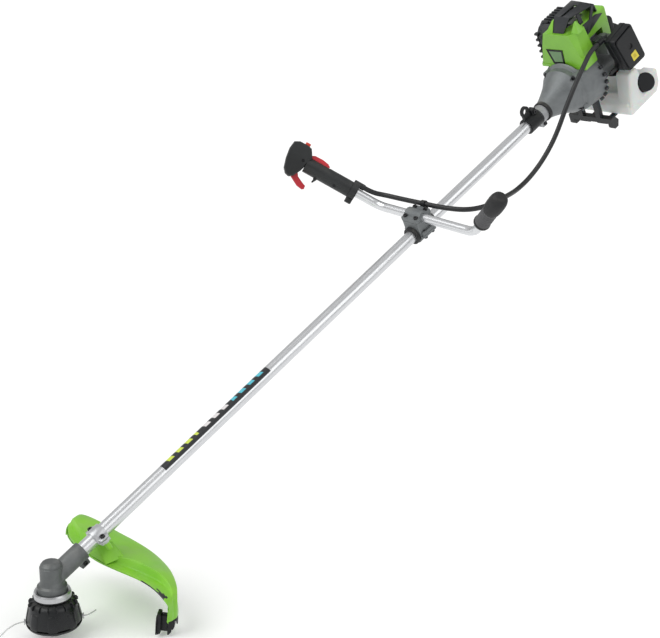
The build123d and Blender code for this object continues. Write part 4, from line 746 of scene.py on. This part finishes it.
def copied(piece, place):
    """A copy with its own mesh, moved by a matrix."""
    twin = bpy.data.objects.new(piece.name + "_copy", piece.data.copy())
    bpy.context.scene.collection.objects.link(twin)
    twin.data.transform(place)
    return twin


def pick_faces(piece, test):
    """Edit mode with the faces selected whose middle and normal pass a test."""
    only(piece)
    bpy.ops.object.mode_set(mode="EDIT")
    bpy.ops.mesh.select_mode(type="FACE")
    bpy.ops.mesh.select_all(action="DESELECT")
    mesh = bmesh.from_edit_mesh(piece.data)
    for face in mesh.faces:
        face.select_set(test(face.calc_center_median(), face.normal))
    bmesh.update_edit_mesh(piece.data)


def drop_faces(piece, test):
    pick_faces(piece, test)
    bpy.ops.mesh.delete(type="FACE")
    bpy.ops.object.mode_set(mode="OBJECT")
    return piece


def rounded(piece, width, segments=2, angle=30):
    return apply_modifier(piece, "BEVEL", width=width, segments=segments,
                          limit_method="ANGLE", angle_limit=radians(angle))


def round_corners(outline, radius, steps=5):
    """Outline with each corner replaced by a short curve."""
    points = []
    for index, corner in enumerate(outline):
        here = Vector(corner)
        before = (Vector(outline[index - 1]) - here).normalized() * radius
        after = (Vector(outline[(index + 1) % len(outline)]) - here).normalized() * radius
        for step in range(steps + 1):
            share = step / steps
            points.append(here + before * (1 - share) ** 2 + after * share ** 2)
    return points


def at_y(outline, y):
    """Ring of (x, z) points set at one y."""
    return [(x, y, z) for x, z in outline]


def loft(*sections):
    """Solid through rings with the same number of corners, extruded one after the other."""
    alone()
    first = [tuple(corner) for corner in sections[0]]
    bpy.ops.mesh.primitive_circle_add(vertices=len(first), fill_type="NGON")
    piece = bpy.context.object
    for vertex, corner in zip(piece.data.vertices, first):
        vertex.co = corner
    before = first
    for section in sections[1:]:
        bpy.ops.object.mode_set(mode="EDIT")
        if before is first:
            bpy.ops.mesh.select_all(action="SELECT")
        bpy.ops.mesh.extrude_region_move(TRANSFORM_OT_translate={"value": (0, 0, 0)})
        bpy.ops.object.mode_set(mode="OBJECT")
        top = [vertex for vertex in piece.data.vertices if vertex.select]
        places = {}
        for vertex in top:
            places[vertex.index] = min(range(len(before)), key=lambda n: (
                Vector(before[n]) - vertex.co).length)
        for vertex in top:
            vertex.co = section[places[vertex.index]]
        before = [tuple(corner) for corner in section]
    bpy.ops.object.mode_set(mode="EDIT")
    bpy.ops.mesh.select_all(action="SELECT")
    bpy.ops.mesh.normals_make_consistent(inside=False)
    bpy.ops.object.mode_set(mode="OBJECT")
    return piece


def lid(outline, *steps):
    """Rings of one rounded outline, each at its own y and scale, made one solid."""
    middle = sum(outline, Vector((0, 0))) / len(outline)
    return loft(*(at_y([(point - middle) * scale + middle for point in outline], y)
                  for y, scale in steps))


def settle(piece, name, place, material, body, *replaced, smooth=35):
    """Name the piece, lay it in its place, shade it, and give it its finish and its body."""
    only(piece)
    piece.name = name
    piece.data.name = name
    piece.data.transform(MILLIMETRES @ place)
    bpy.ops.object.shade_smooth_by_angle(angle=radians(smooth))
    dress(piece, material)
    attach(piece, body)
    if replaced:
        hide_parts(*replaced)
    print(name, "faces:", len(piece.data.polygons))
    return piece


def second_finish(piece, material, test):
    """Give the faces that pass a test a second finish."""
    piece.data.materials.append(material)
    for face in piece.data.polygons:
        face.material_index = int(test(face))


def nearest_face(piece, *point):
    """The face whose middle lies nearest to a point of the shaft's frame."""
    target = MILLIMETRES @ SHAFT @ Vector(point)
    return min(piece.data.polygons, key=lambda face: (target - face.center).length)


# %% [markdown]
# ## Line head
#
# The head is a nylon bowl with a scalloped skirt, so that a hand can hold it while the spool
# is wound. A turned bowl with every second pair of side faces pushed out, then subdivided,
# gives soft lobes that run out towards the shoulder.

# %% Line head shell
LOBES, RIBS = 8, 16
head_shell = lathe([(46.2, -80), (47.6, -77), (47.2, -70), (44.4, -58), (42.6, -50), (40.4, -42.5),
                    (36.5, -38.2), (31, -36.6)], segments=4 * LOBES)
pick_faces(head_shell, lambda middle, normal: -79 < middle.z < -47 and (
    (atan2(middle.y, middle.x) / (2 * pi) * LOBES) % 1 < 0.5))
bpy.ops.mesh.inset(thickness=0.6)
bpy.ops.mesh.extrude_region_shrink_fatten(TRANSFORM_OT_shrink_fatten={"value": 1.6})
bpy.ops.object.mode_set(mode="OBJECT")
apply_modifier(head_shell, "SUBSURF", levels=2, render_levels=2)
rib = carve(new_box(30, 43.4, -1, 1, -46, -37.2), ((40.6, 0, -37.2), (1, 0, 0.72)))
rounded(rib, 0.5)
shoulder_ribs = [copied(rib, turned(360 / RIBS * turn, "Z")) for turn in range(RIBS)]
bpy.data.objects.remove(rib)
head_cover = lathe([(38.5, -87.8), (46, -84.5), (48.3, -80.6), (48.3, -79.8)], segments=64)
bore = lathe([(29.2, -95), (29.2, -84), (36, -84), (38, -60), (30, -50), (12, -50)])
head_hub = lathe([(11.6, -62), (12.4, -60), (12.4, -37)], segments=48)
head_shell = joined([subtract(head_shell, copied(bore, Matrix())), subtract(head_cover, bore),
                     *shoulder_ribs, head_hub])
settle(head_shell, "line_head_shell", HEAD, head_nylon, "head", "line_head_housing")

# %% [markdown]
# ## Guard
#
# The guard is a moulded fan that bends down at its rim and at both ends. Its surface is easiest
# to shape as a net. Every station across the guard has four points: on the front edge, at the
# foot and the top of the step, and on the rim. The first and last three stations run down the
# ends, and where an end meets the rim's wall the net is merged into a corner. A grid primitive
# gives the net, a subdivision surface the soft moulded form, creases keep the edges crisp, and
# Solidify adds the wall. `FIRST` and `LAST` are the outermost stations of the deck.

# %% Net of the guard
STATIONS = [
    [(134, 139, -24), (138, 141, -34), (143, 143, -42), (155, 151, -58)],
    [(134, 139, -17), (138, 141, -22), (143, 143, -28), (158, 150, -38)],
    [(135, 139, -9), (138, 140, -12), (143, 141, -14), (160, 147, -16)],
    [(136, 137, -1), (140, 136, 3), (145, 138, 8), (162, 144, 6)],
    [(124, 123, -2), (133, 119, -3), (138, 120, 10), (172, 137, 6)],
    [(111, 104, -2), (125, 100, -3), (131, 101, 11), (182, 113, 3)],
    [(104, 77, -2), (119, 76, -1), (125, 77, 11), (187, 84, 1)],
    [(100, 50, -2), (117, 50, 2), (122, 52, 10), (190, 57, -1)],
    [(98, 25, -1), (115, 25, 4), (119, 27, 10), (195, 28, -2)],
    [(98, 2, -1), (114, 2, 5), (117, 2, 10), (198, -2, -3)],
    [(101, -20, 0), (117, -19, 2), (119, -22, 11), (198, -29, -3)],
    [(105, -43, 1), (124, -41, -1), (132, -43, 13), (195, -54, -3)],
    [(110, -68, 2), (132, -66, -2), (140, -67, 13), (190, -79, -3)],
    [(115, -93, 3), (138, -92, -2), (143, -92, 13), (183, -102, -3)],
    [(117, -120, 3), (142, -117, -2), (147, -119, 10), (172, -125, -3)],
    [(114, -149, 3), (138, -146, 0), (144, -146, 5), (158, -148, -2)],
    [(108, -175, 1), (127, -170, -2), (133, -167, 0), (144, -164, 0)],
    [(115, -178, -12), (126, -176, -12), (129, -167, -12), (142, -169, -15)],
    [(117, -175, -30), (127, -175, -30), (131, -172, -30), (140, -171, -30)],
    [(118, -173, -47), (126, -174, -47), (131, -173, -47), (139, -172, -47)],
]
WALL_ROWS = [(-22, 211), (-42, 218), (-60, 221)]
FIRST, LAST = 3, 16
CROWNED, CROWN_RISE = range(4, 15), 3
RIM_ROW = 6
ROW_CREASES = {1: 0.8, 2: 0.6, 3: 0.6, RIM_ROW: 0.3}
END_CREASE = 0.25


def station_rows(index):
    """The ten points of one station, from under the front edge to the rim's foot."""
    front, low, ridge, rim = (Vector(point) for point in STATIONS[index])
    crown = Vector((0, 0, CROWN_RISE if index in CROWNED else 0))
    rows = [front + (front - low).normalized() * -0.8 + Vector((0, 0, -4)), front, low, ridge,
            ridge.lerp(rim, 0.4) + crown, ridge.lerp(rim, 0.8) + crown, rim]
    for row, (height, radius) in enumerate(WALL_ROWS):
        if index in (FIRST, LAST):
            outward = 1 if index == LAST else -1
            rows.append(Vector(STATIONS[index + (row + 1) * outward][3]))
        else:
            flat = Vector((rim.x, rim.y)).normalized() * radius
            rows.append(Vector((flat.x, flat.y, height)))
    return rows


rows_across, stations_along = len(station_rows(0)) - 1, len(STATIONS) - 1
alone()
bpy.ops.mesh.primitive_grid_add(x_subdivisions=rows_across, y_subdivisions=stations_along,
                                size=2)
shield = bpy.context.object
place_of = {}
for vertex in shield.data.vertices:
    row = round((vertex.co.x + 1) / 2 * rows_across)
    station = round((1 - vertex.co.y) / 2 * stations_along)
    place_of[vertex.index] = row, station
    vertex.co = station_rows(station)[row]
only(shield)
bpy.ops.object.mode_set(mode="EDIT")
bpy.ops.mesh.select_mode(type="FACE")
bpy.ops.mesh.select_all(action="DESELECT")
net = bmesh.from_edit_mesh(shield.data)
crease = net.edges.layers.float.new("crease_edge")
for edge in net.edges:
    (row, station), (other_row, other_station) = (place_of[v.index] for v in edge.verts)
    if row == other_row:
        edge[crease] = ROW_CREASES.get(row, 0)
    elif station in (FIRST, LAST):
        edge[crease] = END_CREASE
for face in net.faces:
    rows = [place_of[vertex.index][0] for vertex in face.verts]
    stations = [place_of[vertex.index][1] for vertex in face.verts]
    face.select_set(min(rows) >= RIM_ROW and (max(stations) <= FIRST or min(stations) >= LAST))
bmesh.update_edit_mesh(shield.data)
bpy.ops.mesh.delete(type="FACE")
bpy.ops.mesh.select_all(action="SELECT")
bpy.ops.mesh.remove_doubles(threshold=0.05)
bpy.ops.mesh.normals_make_consistent(inside=False)
bpy.ops.object.mode_set(mode="OBJECT")
if sum(face.normal.z * face.area for face in shield.data.polygons) < 0:
    shield.data.flip_normals()
apply_modifier(shield, "SUBSURF", levels=3, render_levels=3)
apply_modifier(shield, "SOLIDIFY", thickness=2.4, offset=-1)
print("guard surface faces:", len(shield.data.polygons))

# %% [markdown]
# A saddle rises from the deck to the clamp, with a thin gusset beside it and two bosses for the
# clamp's screws. Along the right end, the faces under the front edge are painted black: a
# painted shadow line under the guard's lip.

# %% Saddle and gusset
saddle = loft([(98, -24, 2), (132, -32, 8), (132, 34, 8), (96, 37, 2)],
              [(104, 6, 25), (122, -8, 34), (122, 20, 30), (93, 29, 24)])
rounded(saddle, 2, 3)
bosses = [rod(5.2, -24, -8.2, GUARD.inverted() @ SHAFT @ moved(110, side * 19.5, 0), 32)
          for side in (-1, 1)]
gusset = plate([(116, -20, 8), (119, 0, 29), (127, -2, 29), (134, -28, 9)], 2.4)
fan = joined([shield, saddle, gusset, *bosses])
# Faces under the front edge along the right end take the black finish as a painted shadow line
# under the lip.
LIP_TOP, LIP_BACK, LIP_ENDS = 2.4, 119.5, (-168, -100)
lip_shadow_faces = [face.center.z < LIP_TOP and LIP_ENDS[0] < face.center.y < LIP_ENDS[1]
       and face.center.x < LIP_BACK for face in fan.data.polygons]
settle(fan, "guard_fan", GUARD, guard_green, "frame", "guard_shield", smooth=40)
second_finish(fan, guard_black_and_lip_shadow, lambda face: lip_shadow_faces[face.index])
print("faces of the black lip:", sum(lip_shadow_faces))

# %% [markdown]
# ## Line cutter
#
# Under the guard's right end a black bracket carries the blade that trims the line. The bracket
# is a back lug, an arm and a seat for the blade. Its corners are cut off at a slant, and the
# small parts overlap and are joined into one moulding with the blade as its second finish.

# %% Cutter bracket and blade
CUTTER = GUARD @ turned(-49, "Z")
seat = carve(new_box(186, 193, -6, 13, -89, -46),
             ((193, 0, -47), (0.45, 0, 1)), ((186, 0, -89), (0.6, 0, -1)))
arm = new_box(192, 208, -1, 9, -80, -50.5)
arm_rib = new_box(192, 207, 2.5, 5.5, -84, -47)
lug = carve(new_box(205, 217, -4, 11, -76, -39), ((217, 0, -70), (1, 0, -0.4)))
seat_pad = new_box(207, 219, -4, 11, -58, -47)
leg = carve(new_box(204.5, 211.5, -3, 10, -88, -66), ((211.5, 0, -82), (1, 0, -0.7)))
for part, width in ((seat, 1.2), (arm, 1.4), (arm_rib, 0.6), (lug, 1.2), (seat_pad, 1), (leg, 1)):
    rounded(part, width)
blade = carve(new_box(184.4, 186, -9, 17, -86, -52),
              ((184.4, 17, -60), (0, 1, 0.5)), ((184.4, -9, -60), (0, -1, 0.5)))
rounded(blade, 0.4)
bracket = joined([seat, arm, arm_rib, lug, seat_pad, leg])
bracket_faces = len(bracket.data.polygons)
cutter = settle(joined([bracket, blade]), "line_cutter_bracket", CUTTER, dark_plastic, "frame",
                "line_cutter")
second_finish(cutter, black_zinc, lambda face: face.index >= bracket_faces)
print("faces of the blade:", len(cutter.data.polygons) - bracket_faces)

# %% [markdown]
# ## Clamp of the guard
#
# A light cast clamp grips the tube over the saddle. A half ring lies over the tube, and a thin
# ear with a round boss stands on each side, with a second pair of ears under it.

# %% Guard clamp
def clamp_ears(low, high, reach):
    """Pair of ears with rounded ends, from one level to another."""
    pair = []
    corners = [(99, 12), (121, 12), (119, reach), (101, reach)]
    for side in (-1, 1):
        ear = loft(*([(x, side * y, level) for x, y in corners] for level in (low, high)))
        pair.append(rounded(ear, 1.2))
        pair.append(rounded(lathe([(6.2, low), (6.2, high + 0.1)], 32,
                                  moved(110, side * 19.5, 0)), 0.5))
    return pair


ring = subtract(rod(16.4, 98, 122, ALONG_X, 64), rod(13.1, 90, 130, ALONG_X, 64))
carve(ring, ((110, 0, -5), (0, 0, -1)))
rounded(ring, 0.6)
clamp = joined([ring, *clamp_ears(0.7, 4.3, 25), *clamp_ears(-8, -0.7, 24)])
settle(clamp, "guard_clamp", SHAFT, bright_cast, "frame", "guard_bracket")


# %% [markdown]
# ## Left grip
#
# The left hand holds a short rubber grip with a fat round top. It is turned in one go from a
# profile with shallow finger grooves, and the faces of its black top and base ring take a
# second finish.

# %% Left grip with its black ends
BASE_TOP, CROWN_FOOT = 46, 90
grip_profile = [(9.6, 39.6), (16.8, 39.6), (17.3, 41.5), (17.3, 44), (16.1, 46)]
for groove in range(6):
    low = 48 + 6.4 * groove
    grip_profile += [(15.9, low), (15.9, low + 4.2), (15.2, low + 4.9), (15.2, low + 5.8)]
grip_profile += [(15.5, 88), (16.4, 92), (17.4, 97), (18, 102), (18.3, 112), (18.3, 122),
                 (17.6, 131), (16, 137.5), (13, 141.5), (9, 144), (3, 145.2)]
grip = lathe(grip_profile, segments=72)
settle(grip, "left_grip_rubber", LEFT_GRIP, grip_rubber, "frame", "left_grip", smooth=40)
to_grip = (MILLIMETRES @ LEFT_GRIP).inverted()
second_finish(grip, soft_rubber,
              lambda face: not BASE_TOP <= (to_grip @ face.center).z <= CROWN_FOOT)
print("grip faces in black:", sum(f.material_index for f in grip.data.polygons))

# %% [markdown]
# ## Engine hood
#
# The green hood is one moulding: a wide front with a slanted facet on the cable's side, a
# raised ear beside the plug cage, and a narrower body over the cylinder. Boxes with their
# corners cut off are united, opened below, given an even wall inwards, and cut out for the
# exhaust, the intake and the plug. The edges are rounded last, because a wall on rounded
# edges folds into itself. A band along the lower edge makes the lip that real hoods have.

# %% Hood
HOOD_X = 1558
HOOD_FOOT, HOOD_TOP = 46.3, 129.4
HOOD_WALL = 2.2
CABLE_FACET = (-0.715, -0.638, 0.235)
exhaust_slope = ((HOOD_X, 46, 96), (0, 42, 12))
hood_front = carve(
    new_box(HOOD_X, 1599, -60, 59, HOOD_FOOT, HOOD_TOP),
    ((HOOD_X, 59, 60), (0, 36, 13)), exhaust_slope,
    ((HOOD_X, -34, 129), CABLE_FACET), ((HOOD_X, -60, 72), (0, -38, 8)))
hood_ear = carve(new_box(HOOD_X, 1597, 10.5, 46, 90, 153), exhaust_slope,
                 ((1560, 31, 124), (0, 0.86, 0.5)), ((1562, 12, 129), (-0.86, 0, 0.5)))
hood_body = rounded(new_box(1590, 1690, -41, 44, 47, 129), 7, 4)
hood_lip = carve(
    new_box(HOOD_X - 1.2, 1600, -59.5, 60.2, HOOD_FOOT, 53),
    ((HOOD_X, 60.2, 60), (0, 36, 6)), ((HOOD_X - 0.8, -34.8, 129), CABLE_FACET))
hood = unite(unite(unite(hood_front, hood_ear), hood_body), hood_lip)
drop_faces(hood, lambda middle, normal: normal.z < -0.9 and middle.z < 50)
apply_modifier(hood, "SOLIDIFY", thickness=HOOD_WALL, offset=-1, use_even_offset=True)
cut_boxes(hood, (1613, 1661, -60, -30, 30, 90), (1599.5, 1672, 34, 60, 30, 104),
          (1588, 1648, -12, 12, 100, 140))
hood = rounded(hood, 1.3, 3, 28)
hood_peak = carve(new_box(1568, 1590, -56, -36, 128.5, 153),
                  ((1579, -56, 129), (0, -1, 0.36)), ((1579, -36, 129), (0, 1, 0.36)),
                  ((1568, -46, 129), (-1, 0, 0.36)), ((1590, -46, 129), (1, 0, 0.36)))
rounded(hood_peak, 0.8)
settle(joined([hood, hood_peak]), "engine_hood", SHAFT, green_plastic, "frame",
       "engine_cover", smooth=30)

# %% [markdown]
# ## Badge
#
# The hood has a slanted black frame for a badge. Its face stays a plain pane here. It is one
# thin plate whose front face is inset and sunk, so the frame and the pane stay one piece with
# two finishes.

# %% Badge frame and pane
badge_pane = finish("badge_pane", (122, 158, 112), (104, 142, 96), (0.25, 0.35),
                    dust=0.05)
badge = plate([(1556.6, 25.4, 55.3), (1556.6, -4.8, 56.6), (1556.6, -7.9, 91.2),
               (1556.6, 36.9, 91)], 1.6)
pick_faces(badge, lambda middle, normal: abs(normal.x) > 0.9 and middle.x < 1557.5)
bpy.ops.mesh.inset(thickness=4.6)
bpy.ops.transform.translate(value=(0.7, 0, 0))
bpy.ops.object.mode_set(mode="OBJECT")
settle(badge, "hood_badge", SHAFT, cover_plastic, "frame")
pane = nearest_face(badge, 1557.6, 12.4, 73.5)
second_finish(badge, badge_pane, lambda face: face.index == pane.index)
print("pane area in square millimetres:", round(pane.area * 1e6))

# %% [markdown]
# ## Cage over the spark plug
#
# Above the hood, black bars guard the spark plug and let the cylinder's heat out: a slanted
# front plate, two bars that run back from it with a slit between them, a cross bar, and struts
# down to the hood. Each bar is a flat plate on four corners, so the cage stays easy to adjust.

# %% Spark plug cage
CAGE_PLATES = [
    [(1563.5, 10.2, 129.7), (1563.5, -18.5, 129.7), (1582, -31, 160), (1582, 11, 161)],
    [(1582, 11, 161), (1582, -6, 160.5), (1634, -16, 166), (1637, 4, 166)],
    [(1582, -12, 160.5), (1582, -32, 159), (1650, -41, 151), (1634, -26, 166)],
    [(1624, 3, 165), (1624, -24, 165), (1637, -26, 166), (1640, 4, 166)],
    [(1640, 4, 166), (1636, -27, 166), (1656, -41, 150), (1660, 2, 150)],
    [(1660, 2, 150), (1656, -41, 150), (1662, -40, 129.5), (1666, 2, 129.5)],
    [(1582, 11, 161), (1637, 4, 166), (1650, 8, 129.5), (1566, 10.5, 129.5)],
    [(1604, -43.4, 99), (1673, -43.6, 118), (1652, -43.4, 127), (1604, -43.4, 128.5)],
]
STRUT_PLATES = [
    [(1655, -42.5, 150), (1647, -40.5, 151), (1607, -44.5, 102), (1617, -45.5, 104)],
    [(1614, -32, 156), (1604, -31, 157), (1602, -36, 129.5), (1614, -37, 129.5)],
]
CAGE_THICK, STRUT_THICK = 3.2, 3
cage = joined([plate(corners, CAGE_THICK) for corners in CAGE_PLATES])
rounded(cage, 0.8, 2, 40)
struts = [rounded(plate(corners, STRUT_THICK), 0.8, 2, 40) for corners in STRUT_PLATES]
cage_ribs = [carve(new_box(1590 + 11 * n, 1592.2 + 11 * n, -10, 9, 150, 164.4 + 1.2 * n),
                   ((1590, 0, 157), (-0.12, 0, 1))) for n in range(4)]
settle(joined([cage, *struts, *cage_ribs]), "plug_cage", SHAFT, cage_plastic, "frame",
       "top_cover")

# %% [markdown]
# ## Muffler guard
#
# The hot muffler sits behind a black grille. A box with one wall left open is given its
# thickness, slots are cut round its front corner and along its outer wall, and ribs stand up
# across the top edge, so the outline is knobbly, as on the real grille.

# %% Muffler guard
guard_shape = carve(new_box(1590.2, 1681.8, 48.2, 87, 28.5, 122.5),
                    ((1590, 60, 99), (-24, 0, 26)), ((1681, 60, 114), (10, 0, 12)),
                    ((1636, 87, 114), (0, 10, 9)))
rounded(guard_shape, 3, 3, 30)
drop_faces(guard_shape, lambda middle, normal: normal.y < -0.9)
apply_modifier(guard_shape, "SOLIDIFY", thickness=2.4, offset=-1, use_even_offset=True)
ROW_PITCH = 14.5
for row in range(5):
    low = 36 + ROW_PITCH * row
    cut_boxes(guard_shape, (1586, 1601, 80, 92, low, low + 7))
for column in range(7):
    start = 1612 + 9.5 * column
    cut_boxes(guard_shape, (start, start + 4.2, 70, 92, 40, 98),
              (start, start + 4.2, 56, 79, 112, 130))
subtract(guard_shape, rod(68.6, 1585, 1602.6, ALONG_X, 96))
cut_boxes(guard_shape, (1585, 1599.6, 0, 59.6, 20, 128))
guard_ribs = []
for column in range(9):
    start = 1594.5 + 9.6 * column
    rib_top = min(123.2, 103 + (start - 1590) * 24 / 26)
    rib = carve(new_box(start, start + 3.6, 62, 89.2, rib_top - 16, rib_top + 2.4),
                ((start, 89.2, rib_top - 9), (0, 10, 8)), ((start, 78, rib_top - 16), (0, -1, -1)))
    guard_ribs.append(rounded(rib, 0.8))
for row in range(6):
    low = 29.5 + ROW_PITCH * row
    knob = new_box(1587.6, 1597, 79, 89.4, low, low + 5.4)
    guard_ribs.append(rounded(knob, 1.4))
settle(joined([guard_shape, *guard_ribs]), "muffler_grille", SHAFT, cage_plastic, "frame",
       "muffler_guard")

# %% [markdown]
# ## Air filter case and cover
#
# The cover is a shallow lid with a rim, a groove and a raised middle. A lid like this is
# lofted: its outline is drawn once with rounded corners, extruded ring by ring, and each new
# ring is scaled a little. The case behind it is an arch that opens towards the carburettor,
# with three slots in its roof and one in its side for the choke lever.

# %% Filter cover
FILTER_OUTLINE = [(1612, 84), (1682, 93), (1706, -5), (1640, -6)]
HOLE_X, HOLE_Z, HOLE_DEPTH = 1660.6, 45.7, -103.2
HOLE_REACH = 0.0075
filter_outline = round_corners(FILTER_OUTLINE, 9)
cover = lid(filter_outline, (-91.2, 1.0), (-100, 1.0), (-102.6, 0.985), (-103.4, 0.955),
            (-102.9, 0.93), (-101, 0.92), (-101, 0.895), (-104.8, 0.885), (-105.8, 0.86))
subtract(cover, lid(filter_outline, (-91.0, 0.93), (-99.6, 0.93), (-99.6, 0.86), (-100.6, 0.85)))
subtract(cover, rod(6.9, -108, HOLE_DEPTH, moved(HOLE_X, 0, HOLE_Z) @ ALONG_Y))
settle(cover, "filter_lid", SHAFT, cover_plastic, "frame", "filter_cover")
hole = MILLIMETRES @ SHAFT @ Vector((HOLE_X, HOLE_DEPTH, HOLE_Z))
second_finish(cover, soft_rubber, lambda face: (face.center - hole).length < HOLE_REACH)

# %% [markdown]
# The lid has one plain yellow square where such tools carry a sticker.

# %% Yellow square on the lid
sticker_yellow = finish("sticker_yellow", (232, 216, 60), (222, 204, 50), (0.3, 0.4),
                        dust=0.04)
sticker_bar = finish("sticker_bar", (206, 186, 44), (196, 176, 40), (0.3, 0.4), dust=0.04)
sticker = plate([(1654.6, -106.0, 28.2), (1659.3, -106.0, 9.3), (1680.5, -106.0, 10.2),
                 (1672.8, -106.0, 30.9)], 0.6)
pick_faces(sticker, lambda middle, normal: normal.y < -0.9)
bpy.ops.mesh.inset(thickness=5.4)
bpy.ops.object.mode_set(mode="OBJECT")
settle(sticker, "plain_sticker", SHAFT, sticker_yellow, "frame")
middle_face = nearest_face(sticker, 1667, -106.0, 19.6)
second_finish(sticker, sticker_bar, lambda face: face.index == middle_face.index)

# %% Filter case
INNER_ARCH = [(1611, 58), (1603, 100.5), (1671, 120.5), (1690, 60),
              (1687, 60), (1668.6, 117.2), (1606, 98), (1614, 58)]
OUTER_ARCH = [(1638, -4), (1617, 83.5), (1684, 92), (1706, -4),
              (1703, -4), (1681.4, 88.8), (1620, 80.6), (1641, -4)]
arch = loft(at_y(INNER_ARCH, -45.5), at_y(OUTER_ARCH, -91))
rounded(arch, 2.6, 4, 30)
for x, near, far in ((1617, -72, -50), (1637, -68, -52), (1657, -76, -54)):
    cut_boxes(arch, (x, x + 5.5, near, far, 76, 130))
cut_boxes(arch, (1600, 1640, -79.4, -73, -8, 48))
back = lid(filter_outline, (-78.2, 1.015), (-86, 1.02), (-88.4, 1.02), (-89.2, 0.985), (-91, 0.985))
subtract(back, lid(filter_outline, (-85.5, 0.9), (-92, 0.9)))
subtract(back, rod(8, -92, -77, moved(1636, 0, 66) @ ALONG_Y))
subtract(back, rod(3.6, -92, -77, moved(1650, 0, 6) @ ALONG_Y))
gland = rod(6.5, 1599.5, 1617, moved(0, -72, 86) @ ALONG_X)
settle(joined([arch, back, gland]), "filter_housing", SHAFT, cover_plastic, "frame", "filter_case")

# %% [markdown]
# ## Fuel tank
#
# The tank is blow-moulded from milky plastic: a low body under the crankcase and a shoulder
# beside it that carries the filler neck. Both are lofted from their side outline and rounded
# well, because blown plastic has no sharp edge, then united and bored for the filler.

# %% Fuel tank
NECK_R = 13.0
FILLER = SHAFT.inverted() @ CAP
TANK_OUTLINE = [(1641, -127), (1744, -127), (1757, -112), (1755, -76), (1652, -76), (1634, -96)]
NECK_WALL = 2.2
SHOULDER_OUTLINE = [(1637, -106), (1750, -106), (1753, -68), (1700, -64), (1687, -25), (1657, -25)]
tank = loft(at_y(TANK_OUTLINE, -78), at_y(TANK_OUTLINE, 60))
rounded(tank, 6, 4)
shoulder = loft(at_y(SHOULDER_OUTLINE, -85), at_y(SHOULDER_OUTLINE, -46.5))
rounded(shoulder, 6, 4)
unite(tank, shoulder)
subtract(tank, rod(23.5, 13, 60, FILLER))
unite(tank, rod(NECK_R + NECK_WALL, -6, 22, FILLER))
subtract(tank, rod(NECK_R, -8, 23, FILLER))
settle(tank, "blown_tank", SHAFT, tank_white, "frame", "fuel_tank", smooth=40)

# %% [markdown]
# ## Louvres of the fan case, with painted gap shade
#
# Beside the crankcase a ring of black blocks stands at the fan case's edge. They are partly the
# intake louvres and partly painted shade of the dark gaps between the case's lugs. One
# block is modelled with a worn edge and copied round the axis, each copy with its own mesh.

# %% Louvres and painted gap shade
shade_louvre = carve(new_box(1594.5, 1602, -3.8, 3.8, 66.5, 73.4), ((1594.5, 0, 73.4), (-1, 0, 1.2)))
rounded(shade_louvre, 0.7)
# The black copies are partly louvres and partly painted shade of the gaps between the lugs.
SHADE_LOUVRE_BEARINGS = range(66, 142, 15)
shade_louvres = [copied(shade_louvre, turned(bearing, "X")) for bearing in SHADE_LOUVRE_BEARINGS]
bpy.data.objects.remove(shade_louvre)
settle(joined(shade_louvres), "fan_case_shade_louvres", SHAFT, cage_plastic, "frame")

# %% [markdown]
# ## Studio
#
# The tool stands over a white floor under a soft even light: a wide sun for the form, a weak
# one from the other side, and a bright sky. The floor shows as white to the camera and keeps
# the tool's shadow.

# %% Floor, lights and sky
bpy.ops.object.select_all(action="DESELECT")
FLOOR_GAP = 0.002
floor_height = cad_box[0].z - FLOOR_GAP
bpy.ops.mesh.primitive_plane_add(size=120, location=(0, 0, floor_height))
floor = bpy.context.object
floor.name = "floor"
floor_white = bpy.data.materials.new("floor_white")
floor_white.use_nodes = True
tree = floor_white.node_tree
shader = tree.nodes["Principled BSDF"]
shader.inputs["Roughness"].default_value = 0.9
shader.inputs["Base Color"].default_value = (0.86, 0.86, 0.86, 1)
shader.inputs["Emission Color"].default_value = (1, 1, 1, 1)
path = tree.nodes.new("ShaderNodeLightPath")
glow = math_in(tree, "MAXIMUM", path.outputs["Is Camera Ray"], path.outputs["Is Glossy Ray"])
glow = math_in(tree, "MAXIMUM", glow, path.outputs["Is Transmission Ray"])
wire(tree, math_in(tree, "MULTIPLY", glow, 0.22), shader.inputs["Emission Strength"])
dress(floor, floor_white)


def sun(name, energy, angle, azimuth, elevation):
    """Distant lamp that shines from an azimuth and a height, both in degrees."""
    lamp = bpy.data.objects.new(name, bpy.data.lights.new(name, "SUN"))
    lamp.data.energy = energy
    lamp.data.angle = radians(angle)
    lamp.rotation_euler = (radians(90 - elevation), 0, radians(azimuth))
    bpy.context.scene.collection.objects.link(lamp)
    return lamp


sun("key_sun", 1.4, 50, -104, 50)
sun("fill_sun", 0.5, 40, 15, 35)
world = bpy.data.worlds.new("soft_sky")
bpy.context.scene.world = world
world.use_nodes = True
world.node_tree.nodes["Background"].inputs["Color"].default_value = (1, 1, 1, 1)
world.node_tree.nodes["Background"].inputs["Strength"].default_value = 0.58
print("studio ready, floor at", round(floor_height, 3))
